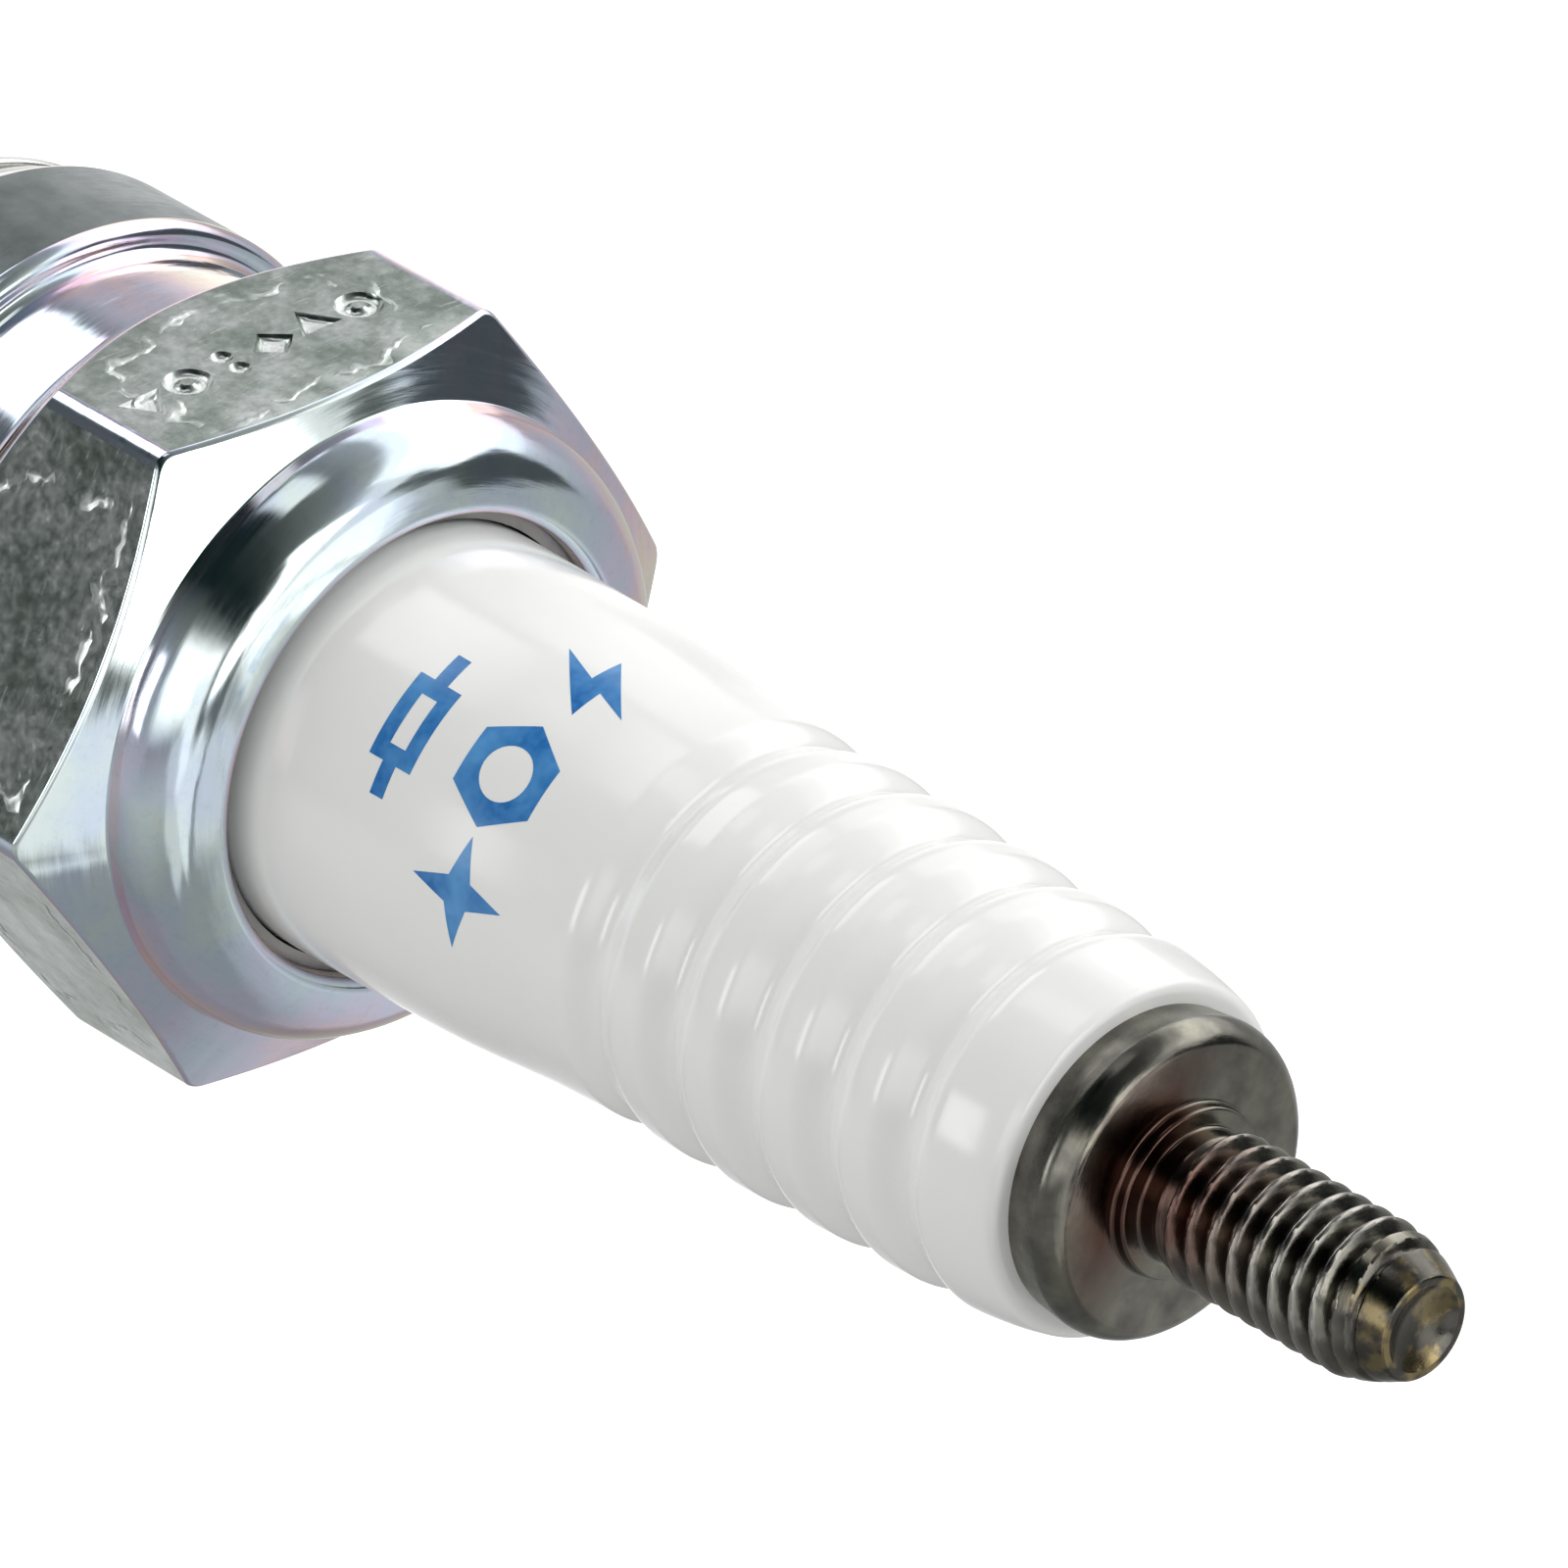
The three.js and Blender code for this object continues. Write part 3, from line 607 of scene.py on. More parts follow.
def plated_flat():
    """The hexagon's sides: the same plate, with dents, scratches and a slight ridge near the edges whose
    line is a painted highlight.
    """
    s = Shader("plated_flat")
    x, y, z = s.axes()
    grain = s.noise(3.0, 5, 0.6)
    broad = s.noise(0.55, 5, 0.6)
    level = s.plus(s.times(grain, 0.2), s.times(broad, 0.8))
    tint = s.ramp(level, [
        (0.36, (0.34, 0.39, 0.35, 1)),
        (0.5, (0.52, 0.57, 0.54, 1)),
        (0.64, (0.74, 0.77, 0.76, 1)),
    ])
    radius = s.from_axis(x, y)
    inward = s.minus(HEX_CORNER_R, radius)
    from_top = s.minus(s.plus(HEX_HIGH_Z, s.times(inward, HIGH_SLOPE)), z)
    from_bottom = s.plus(s.minus(z, HEX_LOW_Z), inward)
    from_side = s.times(s.minus(HEX_CORNER_R - 0.25, radius), 2.0)
    border = s.math("MINIMUM", s.math("MINIMUM", from_top, from_bottom), from_side)
    border = s.plus(border, s.times(s.minus(s.noise(0.8, 2, 0.5), 0.5), 2.0))
    # Painted highlight: a near-white line along a slight ridge near the sides' edges, broken up by noise.
    sheen_mask = s.stretch(s.math("ABSOLUTE", s.minus(border, HIGHLIGHT_LINE_IN)), 0.0, HIGHLIGHT_LINE_HALF, 1.0, 0.0)
    sheen_mask = s.times(sheen_mask, s.stretch(s.noise(0.9, 2), 0.45, 0.6))
    scratches = s.noise(1.0, 4, 0.7, s.stretched(s.mm, (1.2, 1.2, 9.0)))
    scratches = s.stretch(scratches, 0.60, 0.68, 0.0, 0.6)
    tint = s.mix(s.math("MAXIMUM", sheen_mask, scratches), tint, (0.86, 0.90, 0.88, 1))
    rough = s.plus(s.spread(grain, 0.14, 0.28), s.times(sheen_mask, 0.2))
    normal = s.bump(sheen_mask, 0.05, 0.6, s.bump(broad, 0.02, 0.3, s.bump(grain, 0.006, 0.45)))
    return s.metal(tint, rough, Normal=normal)


def dark_nickel():
    """The terminal stud: dark satin nickel, golden in patches at the tip, with painted shade in the thread's
    roots, painted highlights on its crests and a painted dark, reddish reflection on one side of the
    flange's face and the thread's foot.
    """
    s = Shader("dark_nickel")
    marks = s.noise(14, 3, 0.6, s.turned_coordinates(0.8))
    patches = s.noise(0.9, 3, 0.55)
    tint = s.ramp(patches, [
        (0.3, (0.122, 0.115, 0.102, 1)),
        (0.5, (0.195, 0.188, 0.163, 1)),
        (0.68, (0.270, 0.260, 0.210, 1)),
    ])
    x, y, z = s.axes()
    radius = s.from_axis(x, y)
    on_thread = s.stretch(z, STUD_NECK_Z + 0.1, STUD_NECK_Z + 0.3)
    # Painted shade darkens the thread's roots, and a painted highlight lightens its crests.
    root_shade = s.stretch(radius, STUD_THREAD_R - 0.35, STUD_THREAD_R - 0.15, 0.7, 0.0)
    crest_highlight = s.stretch(radius, STUD_THREAD_R - 0.12, STUD_THREAD_R - 0.02, 0.0, 0.7)
    tint = s.mix(s.times(root_shade, on_thread), tint, (0.055, 0.050, 0.045, 1))
    tint = s.mix(s.times(crest_highlight, on_thread), tint, (0.42, 0.40, 0.37, 1))
    # Painted dark reflection: one side of the flange's face and the thread's foot turns darker and reddish.
    side = s.plus(s.times(x, math.cos(DARK_REFLECTION_AZIMUTH)), s.times(y, math.sin(DARK_REFLECTION_AZIMUTH)))
    dark_reflection = s.stretch(s.plus(side, s.times(patches, 2.0)), 1.4, 2.8, 0.0, 0.85)
    dark_reflection = s.times(dark_reflection, s.stretch(z, FLANGE_Z - 0.1, FLANGE_Z - 0.02))
    dark_reflection = s.times(dark_reflection, s.stretch(z, FLANGE_Z + 2.0, FLANGE_Z + 4.5, 1.0, 0.0))
    dark_reflection = s.times(dark_reflection, s.stretch(radius, 2.6, 3.9, 1.0, 0.25))
    tint = s.mix(dark_reflection, tint, (0.095, 0.040, 0.030, 1))
    golden = s.stretch(s.noise(1.6, 3), 0.46, 0.60, 0.0, 0.7)
    golden = s.times(golden, s.stretch(z, TOP_Z - 1.5, TOP_Z))
    tint = s.mix(golden, tint, (0.36, 0.28, 0.13, 1))
    rim = s.stretch(z, FLANGE_Z - 0.5, FLANGE_Z - 0.8, 0.0, 0.12)
    rough = s.plus(s.spread(marks, 0.13, 0.23), rim)
    return s.metal(tint, rough, Normal=s.bump(marks, 0.005, 0.6))


def glaze():
    """White glazed alumina."""
    s = Shader("glaze")
    broad = s.noise(0.35, 2, 0.5)
    fine = s.noise(2.2, 2, 0.5)
    tint = s.mix(broad, (0.862, 0.868, 0.845, 1), (0.892, 0.898, 0.878, 1))
    rough = s.spread(fine, 0.15, 0.22)
    normal = s.bump(fine, 0.004, 0.35)
    return s.finish(Base_Color=tint, Roughness=rough, Normal=normal, Coat_Weight=0.6, Coat_Roughness=0.11)


def bare_alumina():
    """The insulator's unglazed foot and nose: matt, slightly cream, with a fine grain."""
    s = Shader("bare_alumina")
    grain = s.noise(14, 4, 0.6)
    tint = s.mix(grain, (0.80, 0.78, 0.73, 1), (0.87, 0.85, 0.81, 1))
    rough = s.spread(grain, 0.5, 0.7)
    return s.finish(Base_Color=tint, Roughness=rough, Normal=s.bump(grain, 0.01, 0.5))


def ink():
    """Blue print, fired with the glaze."""
    s = Shader("ink")
    blotches = s.noise(5, 3, 0.6)
    # Lighter blue in random patches: partly uneven ink, partly a painted sheen of the glaze over the print.
    sheen_mask = s.stretch(s.noise(0.7, 3, 0.6), 0.35, 0.68)
    tint = s.mix(s.stretch(blotches, 0.35, 0.65), (0.0, 0.11, 0.38, 1), (0.008, 0.16, 0.47, 1))
    tint = s.mix(sheen_mask, tint, (0.09, 0.31, 0.64, 1))
    return s.finish(Base_Color=tint, Roughness=s.spread(blotches, 0.14, 0.24), Coat_Weight=0.2)


def nickel_alloy():
    """Electrodes: drawn nickel alloy, satin, with fine lengthwise scratches."""
    s = Shader("nickel_alloy")
    scratches = s.noise(1.5, 4, 0.6, s.stretched(s.mm, (2.0, 12.0, 2.0)))
    tint = s.mix(s.noise(1.2, 2), (0.42, 0.40, 0.37, 1), (0.58, 0.55, 0.50, 1))
    rough = s.spread(scratches, 0.25, 0.42)
    return s.metal(tint, rough, Normal=s.bump(scratches, 0.006, 0.5))


def gasket_steel():
    """Zinc-plated soft steel sheet, folded."""
    s = Shader("gasket_steel")
    marks = s.noise(5, 4, 0.6, s.turned_coordinates(1.5))
    tint = s.mix(s.noise(0.8, 3), (0.60, 0.60, 0.57, 1), (0.74, 0.74, 0.72, 1))
    rough = s.spread(marks, 0.2, 0.36)
    return s.metal(tint, rough, Normal=s.bump(marks, 0.01, 0.5))


def plain_steel():
    """Packing rings and washers."""
    s = Shader("plain_steel")
    marks = s.noise(6, 3, 0.6, s.turned_coordinates(1.0))
    tint = s.mix(s.noise(1.1, 3), (0.30, 0.29, 0.28, 1), (0.44, 0.43, 0.41, 1))
    return s.metal(tint, s.spread(marks, 0.35, 0.5))


def powder(name, dark, light, scale):
    """Pressed or sintered powder."""
    s = Shader(name)
    grain = s.noise(scale, 5, 0.65)
    tint = s.mix(grain, dark, light)
    rough = s.spread(grain, 0.75, 0.95)
    return s.finish(Base_Color=tint, Roughness=rough, Normal=s.bump(grain, 0.03, 0.5))


def seal_glass():
    """Glass filled with copper powder."""
    s = Shader("seal_glass")
    specks = s.noise(12, 2, 0.5)
    metal = s.stretch(specks, 0.55, 0.6)
    tint = s.mix(metal, (0.10, 0.07, 0.05, 1), (0.72, 0.36, 0.22, 1))
    return s.finish(Base_Color=tint, Metallic=metal, Roughness=0.3)


def copper():
    """The electrode's core."""
    s = Shader("copper")
    marks = s.noise(4, 3, 0.6, s.turned_coordinates(1.0))
    tint = s.mix(marks, (0.72, 0.32, 0.20, 1), (0.86, 0.45, 0.30, 1))
    return s.metal(tint, s.spread(marks, 0.25, 0.4))


# Pieces


def build_stud():
    """The terminal: shank, round flange and M4 thread with a dimpled tip."""
    angles = full_turn(STUD_STEPS)
    bowl_r = (STUD_DIMPLE_R**2 + STUD_DIMPLE_DEPTH**2) / (2 * STUD_DIMPLE_DEPTH)
    bowl_half = math.asin(STUD_DIMPLE_R / bowl_r)
    barrel_z = FLANGE_Z - FLANGE_ROUNDING * math.sin(FLANGE_ROUNDING_END)

    def bar(z):
        """The thread's crest, which curves in towards the tip."""
        share = max(0, z - STUD_CONE_Z) / (TOP_Z - STUD_CONE_Z)
        return STUD_THREAD_R - (STUD_THREAD_R - STUD_TIP_R) * (share + share**2) / 2

    low_z, high_z = STUD_NECK_Z, TOP_Z - STUD_RIM_HEIGHT
    run_in = STUD_THREAD["pitch"] * STUD_RUN_IN
    rows = []
    for r, z in thread_rows(STUD_THREAD, low_z, high_z, angles, bar):
        share = smooth_step((z - low_z) / run_in)
        rows.append((STUD_NECK_R + (r - STUD_NECK_R) * share, z))
    below = outline([
        (0, STUD_LOW.z),
        (SHANK_END_R, STUD_LOW.z, 0.3),
        (SHANK_END_R, UPPER_SEAL_HIGH.z),
        (SHANK_R, UPPER_SEAL_HIGH.z + 0.2),
        (SHANK_R, FLANGE_LOW_Z),
        (FLANGE_R - 0.26, FLANGE_LOW_Z, 0.12),
        (FLANGE_R - 0.01, FLANGE_Z - FLANGE_ROUNDING, 0.5),
    ])
    flange = arc(FLANGE_R - FLANGE_ROUNDING, barrel_z, FLANGE_ROUNDING, 0, FLANGE_ROUNDING_END)
    neck = outline([
        (FLANGE_R - FLANGE_ROUNDING, FLANGE_Z),
        (STUD_FOOT_R, FLANGE_Z, 0.1),
        (STUD_FOOT_R, STUD_FOOT_Z, 0.1),
        (STUD_NECK_R, STUD_FOOT_Z, 0.1),
        (STUD_NECK_R, low_z - 0.02),
    ])[1:]
    rim = outline([(STUD_TIP_R + 0.1, high_z + 0.02), (STUD_TIP_R + 0.02, TOP_Z, 0.14), (0, TOP_Z)])[1:-1]
    bowl = arc(0, TOP_Z + bowl_r - STUD_DIMPLE_DEPTH, bowl_r, bowl_half - math.pi / 2, -math.pi / 2)
    bowl[-1] = (0, bowl[-1][1])
    piece = turned("stud_and_flange", below + flange + neck + rows + rim + bowl, angles)
    finish_piece(piece, "plug", ["terminal_stud"], [dark_nickel()])


# The trunk without its grooves, as (distance below the flange's top, radius)
TRUNK_STATIONS = [
    (FLANGE_HEIGHT, INSULATOR_TOP_R), (2.2, 4.66), (3.2, 4.82), (5.0, 4.92), (8.0, 5.03), (12.0, 5.2),
    (16.0, 5.22), (18.0, 5.30), (21.5, 5.58), (26.0, 5.70), (30.0, TRUNK_R),
]


def trunk_radius(z):
    """A smooth curve through the trunk's stations: a slight taper that steps in above the print."""
    depth = FLANGE_Z - z
    depths, radii = (np.array(column) for column in zip(*TRUNK_STATIONS, strict=True))
    slopes = np.gradient(radii, depths)
    i = int(np.clip(np.searchsorted(depths, depth) - 1, 0, len(depths) - 2))
    span = depths[i + 1] - depths[i]
    t = float(np.clip((depth - depths[i]) / span, 0, 1))
    return float(
        (2 * t**3 - 3 * t**2 + 1) * radii[i]
        + (t**3 - 2 * t**2 + t) * span * slopes[i]
        + (3 * t**2 - 2 * t**3) * radii[i + 1]
        + (t**3 - t**2) * span * slopes[i + 1]
    )


def groove_depth(z):
    """How far the round grooves cut into the trunk at a height."""
    depth = 0.0
    for groove in range(GROOVE_COUNT):
        offset = (z - (GROOVE_FIRST_Z - groove * GROOVE_PITCH)) / GROOVE_HALF_WIDTH
        if abs(offset) < 1:
            fade = 0.75 if groove == GROOVE_COUNT - 1 else 1.0
            depth += fade * GROOVE_DEPTH * math.cos(offset * math.pi / 2) ** 2
    return depth


def build_insulator():
    """The ceramic body: glazed trunk with grooves, wide middle, bare foot and nose, and its stepped bore."""
    slope = (UPPER_BORE_R - LOWER_BORE_R) / 2
    cone_z = LEDGE_Z - (LOWER_BORE_R - LEDGE_R) + 0.3 / math.cos(math.pi / 4)
    shoulder_top_z = GLAZE_ENDS_Z + (MID_BODY_R - TRUNK_R) / 2
    foot = outline([
        (ELECTRODE_BORE_R, NOSE_Z, 0.1),
        (NOSE_TIP_R, NOSE_Z, 0.45),
        (NOSE_BASE_R, cone_z - (LEDGE_R - NOSE_BASE_R), 0.3),
        (LOWER_TRUNK_R, cone_z - (LEDGE_R - LOWER_TRUNK_R), 0.3),
        (LOWER_TRUNK_R, SEAT_Z - slope + CLEARANCE, 0.4),
        (MID_BODY_R, SEAT_Z + slope + CLEARANCE, 0.4),
        (MID_BODY_R, GLAZE_ENDS_Z, 0.4),
        (TRUNK_R, shoulder_top_z, 0.3),
        (TRUNK_R, shoulder_top_z + 2),
        (TERMINAL_BORE_R, shoulder_top_z + 2),
    ])[:-1]
    trunk_low_z, trunk_high_z = shoulder_top_z + 2.2, FLANGE_LOW_Z - 0.6
    trunk = []
    for z in np.linspace(trunk_low_z, trunk_high_z, TRUNK_ROWS):
        trunk.append((trunk_radius(z) - groove_depth(z), z))
    top = outline([
        (trunk_radius(trunk_high_z), trunk_high_z),
        (INSULATOR_TOP_R + 0.02, FLANGE_LOW_Z, 0.35),
        (TERMINAL_BORE_R, FLANGE_LOW_Z, 0.15),
        (TERMINAL_BORE_R, HEAD_Z),
        (ELECTRODE_BORE_R, HEAD_Z),
    ])[1:]
    points = foot + trunk + top
    slots = [0 if np.max(z) > GLAZE_ENDS_Z else 1 for _, z in points]
    piece = turned("insulator_body", points, slots=slots)
    finish_piece(piece, "plug", ["insulator"], [glaze(), bare_alumina()])


# The print: signs in two lines, on a film that reaches from just under the glaze to just over it
PRINT_UPPER_AZIMUTH = math.radians(71.2)
PRINT_LOWER_AZIMUTH = math.radians(71.7)
PRINT_HEIGHT = 2.9
PRINT_STROKE = 0.45
PRINT_UPPER_Z = FLANGE_Z - 19.75
PRINT_LOWER_Z = FLANGE_Z - 22.95
PRINT_PITCH = 3.15
INK_OVER = 0.008
INK_UNDER = -0.01


def bolt_mark():
    """A flash of lightning."""
    half = PRINT_HEIGHT / 2
    corners = [(0.3, 1.0), (-0.72, -0.14), (-0.08, -0.14), (-0.34, -1.0), (0.72, 0.24), (0.08, 0.24)]
    return [[(x * half, y * half) for x, y in corners]]


def nut_mark():
    """A hexagonal nut with a round bore."""
    outer = round_loop(PRINT_HEIGHT / 2, 6)
    bore = round_loop(PRINT_HEIGHT / 2 - 1.6 * PRINT_STROKE, 32)
    return [outer, bore[::-1]]


def spark_mark():
    """A star with four points."""
    loop = []
    for step in range(8):
        radius = PRINT_HEIGHT / 2 if step % 2 == 0 else PRINT_HEIGHT * 0.17
        angle = math.pi / 4 * step
        loop.append((radius * math.cos(angle), radius * math.sin(angle)))
    return [loop]


def resistor_mark():
    """The circuit sign for a resistor: a box on a wire."""
    x, y = 1.15, 0.72
    end, half = 2.0, PRINT_STROKE / 2
    outer = [(-x, -y), (x, -y), (x, -half), (end, -half), (end, half), (x, half)]
    outer += [(-a, -b) for a, b in outer]
    hole = box_loop(2 * (x - PRINT_STROKE), 2 * (y - PRINT_STROKE))
    return [outer, hole[::-1]]


def build_print():
    """Signs in blue ink, each a thin film on the glaze."""
    marks = {
        "print_bolt": (bolt_mark(), PRINT_UPPER_AZIMUTH, -PRINT_PITCH, PRINT_UPPER_Z),
        "print_nut": (nut_mark(), PRINT_UPPER_AZIMUTH, 0, PRINT_UPPER_Z),
        "print_spark": (spark_mark(), PRINT_UPPER_AZIMUTH, PRINT_PITCH, PRINT_UPPER_Z),
        "print_resistor": (resistor_mark(), PRINT_LOWER_AZIMUTH, 0, PRINT_LOWER_Z),
    }
    finish = ink()
    for name, (loops, azimuth, across, middle_z) in marks.items():
        loops = [dense(loop) for loop in moved(loops, across)]
        extra = grid_inside(loops)
        flat = [point for loop in loops for point in loop] + extra
        middle_r = trunk_radius(middle_z)
        vertices = []
        for lift in (INK_OVER, INK_UNDER):
            for x, y in flat:
                angle = azimuth + x / middle_r
                r = trunk_radius(middle_z + y) + lift
                vertices.append((r * math.cos(angle), r * math.sin(angle), middle_z + y))
        top = fill(loops, extra)
        count = len(flat)
        faces = list(top) + [(c + count, b + count, a + count) for a, b, c in top]
        faces += [(there, here, here + count, there + count) for here, there in loop_edges(loops)]
        piece = new_object(name, vertices, faces)
        finish_piece(piece, "plug", [], [finish])


STAMP_HEIGHT = 1.25
STAMP_PITCH = 1.35
STAMP_OFFSET = 0.4
# How far each step down a mark's wall lies from its edge, and how deep
STAMP_STEPS = [(0.05, 0.06), (0.11, 0.1), (0.18, 0.12)]
# The shell's materials, by their places in its list
TURNED, FLAT, DULL, STRUCK = range(4)


def stamp_marks():
    """Plain punch marks in a row: ring, triangle, diamond, two dots, ring, triangle."""
    h = STAMP_HEIGHT
    ring = [round_loop(h / 2, 24), round_loop(h / 2 - 0.45, 12)[::-1]]
    marks = [
        ring,
        [round_loop(h * 0.58, 3, (0, -h * 0.08), 0.25)],
        [round_loop(h / 2, 4)],
        [round_loop(0.29, 12, (0, 0.35)), round_loop(0.29, 12, (0, -0.35))],
        ring,
        [round_loop(h * 0.58, 3, (0, h * 0.08), 0.75)],
    ]
    loops = []
    for place, mark in enumerate(marks):
        across = STAMP_OFFSET + (place - (len(marks) - 1) / 2) * STAMP_PITCH
        loops += moved(mark, across)
    return [dense(loop, 0.5) for loop in loops]


def stamp_flat(vertices, faces, face_slots, low_row, high_row, normal_angle):
    """Fills a side of the hexagon between two rows of vertices, with marks punched into it."""
    along = np.array([-math.sin(normal_angle), math.cos(normal_angle), 0])
    outward = np.array([math.cos(normal_angle), math.sin(normal_angle), 0])
    middle_z = np.mean([vertices[i][2] for i in low_row + high_row])
    ids = low_row + high_row[::-1]
    border = [(float(np.dot(vertices[i], along)), vertices[i][2] - middle_z) for i in ids]
    marks = stamp_marks()
    loops = [border] + [mark[::-1] for mark in marks]

    def place(point, depth):
        x, y = point
        vertices.append(tuple(along * x + outward * (HALF_FLATS - depth) + (0, 0, y + middle_z)))
        return len(vertices) - 1

    mark_ids = [[place(point, 0) for point in mark] for mark in marks]
    for own in mark_ids:
        ids += own[::-1]
    new_faces = [tuple(ids[i] for i in triangle) for triangle in fill(loops)]
    floors = []
    for mark, own in zip(marks, mark_ids, strict=True):
        for distance, depth in STAMP_STEPS:
            ring = inset(mark, distance)
            ring_ids = [place(point, depth) for point in ring]
            new_faces += band(own, ring_ids)
            own = ring_ids
        floors.append((ring, own))
    floor_ids = [i for _, own in floors for i in own]
    bright_from = len(new_faces)
    new_faces += [tuple(floor_ids[i] for i in triangle) for triangle in fill([ring for ring, _ in floors])]
    faces += new_faces
    face_slots += [FLAT] * bright_from + [STRUCK] * (len(new_faces) - bright_from)


def build_shell():
    """The steel shell: thread, seat, collar, neck, hexagon and the lip crimped over the insulator."""
    angles = hexagon_angles()
    hexagon = hexagon_radius(angles)
    lead_z = SHELL_END_Z + THREAD_LEAD

    def bar(z):
        """The thread's crest, with its lead at the shell's end."""
        return min(SHELL_THREAD_R + 0.01, SHELL_THREAD_R + z - lead_z)

    thread_top_z = UNDERCUT_Z - 0.02
    thread = []
    for r, z in thread_rows(SHELL_THREAD, SHELL_END_Z + 0.12, thread_top_z, angles, bar):
        run_in = smooth_step((thread_top_z - z) / SHELL_THREAD["pitch"])
        thread.append((UNDERCUT_R + (r - UNDERCUT_R) * run_in, z))
    crimp_root_z = HEX_HIGH_Z + (HEX_CORNER_R - CRIMP_R) * HIGH_SLOPE
    lip_z = CRIMP_TOP_Z - (CRIMP_R - LIP_R) * LIP_SLOPE
    lip_under_z = UPPER_RING_HIGH.z
    bore_slope = (UPPER_BORE_R - LOWER_BORE_R) / 2
    lower_edge_z = HEX_LOW_Z - (HEX_CORNER_R - hexagon)
    upper_edge_z = HEX_HIGH_Z + (HEX_CORNER_R - hexagon) * HIGH_SLOPE
    end = outline([
        (FIRING_BORE_R, SHELL_END_Z, 0.1),
        (SHELL_THREAD_R - THREAD_LEAD, SHELL_END_Z, 0.1),
        (SHELL_THREAD_R - THREAD_LEAD + 0.2, SHELL_END_Z + 0.2),
    ])[:-1]
    lower = outline([
        (UNDERCUT_R, thread_top_z),
        (UNDERCUT_R, SEAT_Z, 0.2),
        (COLLAR_R, SEAT_Z, 0.25),
        (COLLAR_R, COLLAR_Z, COLLAR_ROUNDING),
        (SHELL_NECK_R, COLLAR_Z, 0.3),
        (SHELL_NECK_R, HEX_LOW_Z - (HEX_CORNER_R - SHELL_NECK_R), NECK_FILLET),
        (hexagon, lower_edge_z, HEX_EDGE_ROUNDING),
        (hexagon, upper_edge_z, HEX_EDGE_ROUNDING),
        (CRIMP_R, crimp_root_z, 0.1),
        (CRIMP_R, lip_z, CRIMP_ROUNDING),
        (LIP_R, CRIMP_TOP_Z, LIP_ROUNDING),
        (LIP_R, lip_under_z, 0.1),
        (UPPER_BORE_R, lip_under_z - (UPPER_BORE_R - LIP_R) / 2),
        (UPPER_BORE_R, SEAT_Z + bore_slope),
        (LOWER_BORE_R, SEAT_Z - bore_slope),
        (LOWER_BORE_R, LEDGE_Z),
        (LEDGE_R, LEDGE_Z - (LOWER_BORE_R - LEDGE_R)),
        (LEDGE_R, LEDGE_Z - LEDGE_LENGTH),
        (FIRING_BORE_R, LEDGE_Z - LEDGE_LENGTH - (FIRING_BORE_R - LEDGE_R)),
    ])[1:]
    points = end + thread + lower
    rounded_corner = ARC_STEPS + 1
    collar_row = len(end) + len(thread) + 2 * rounded_corner - 1
    low_row = len(end) + len(thread) + 6 * rounded_corner - 1
    slots = [TURNED] * len(points)
    slots[collar_row] = DULL
    slots[low_row] = FLAT
    vertices, faces, face_slots = turned_mesh(points, angles, slots)
    count = len(angles)
    first = low_row * count
    # The rounded corners between the hexagon's sides keep the brighter turned plate, not the sides' darker
    # plate: a painted highlight along the corners.
    for j in range(count):
        if j % (FLAT_STEPS + CORNER_STEPS) >= FLAT_STEPS:
            face_slots[first + j] = TURNED
    # One side's faces make way for the side with the punched marks
    del faces[first:first + FLAT_STEPS]
    del face_slots[first:first + FLAT_STEPS]
    low_ids = list(range(first, first + FLAT_STEPS + 1))
    high_ids = [i + count for i in low_ids]
    stamp_flat(vertices, faces, face_slots, low_ids, high_ids, math.radians(30))
    piece = new_object("shell_body", vertices, faces, face_slots)
    finishes = [plated_turned(), plated_flat(), plated_dull(), struck_highlight_plate()]
    finish_piece(piece, "plug", ["metal_shell"], finishes)


def build_gasket():
    """The crush washer, folded from one sheet into three leaves."""
    gap = (GASKET_HIGH.z - GASKET_LOW.z - 3 * GASKET_SHEET) / 2
    bend_in = gap / 2
    bend_out = bend_in + GASKET_SHEET
    low_z = GASKET_LOW.z
    inner = (GASKET_IN_R + bend_out, low_z + bend_out)
    outer = (GASKET_OUT_R - bend_out, SEAT_Z - bend_out)
    lower_edge_r = GASKET_OUT_R - GASKET_SHEET / 2
    upper_edge_r = GASKET_IN_R + GASKET_SHEET
    quarter = math.pi / 2
    lower_edge = outline([
        (inner[0], low_z),
        (lower_edge_r, low_z, 0.12),
        (lower_edge_r, low_z + GASKET_SHEET, 0.12),
        (inner[0], low_z + GASKET_SHEET),
    ], 4)[1:-1]
    upper_edge = outline([
        (outer[0], SEAT_Z),
        (upper_edge_r, SEAT_Z, 0.12),
        (upper_edge_r, SEAT_Z - GASKET_SHEET, 0.12),
        (outer[0], SEAT_Z - GASKET_SHEET),
    ], 4)[1:-1]
    points = (
        lower_edge
        + arc(*inner, bend_in, 3 * quarter, quarter, 12)
        + arc(*outer, bend_out, -quarter, quarter, 16)
        + upper_edge
        + arc(*outer, bend_in, quarter, -quarter, 12)
        + arc(*inner, bend_out, quarter, 3 * quarter, 16)
    )
    piece = turned("gasket_washer", points)
    finish_piece(piece, "gasket", ["sealing_gasket"], [gasket_steel()])


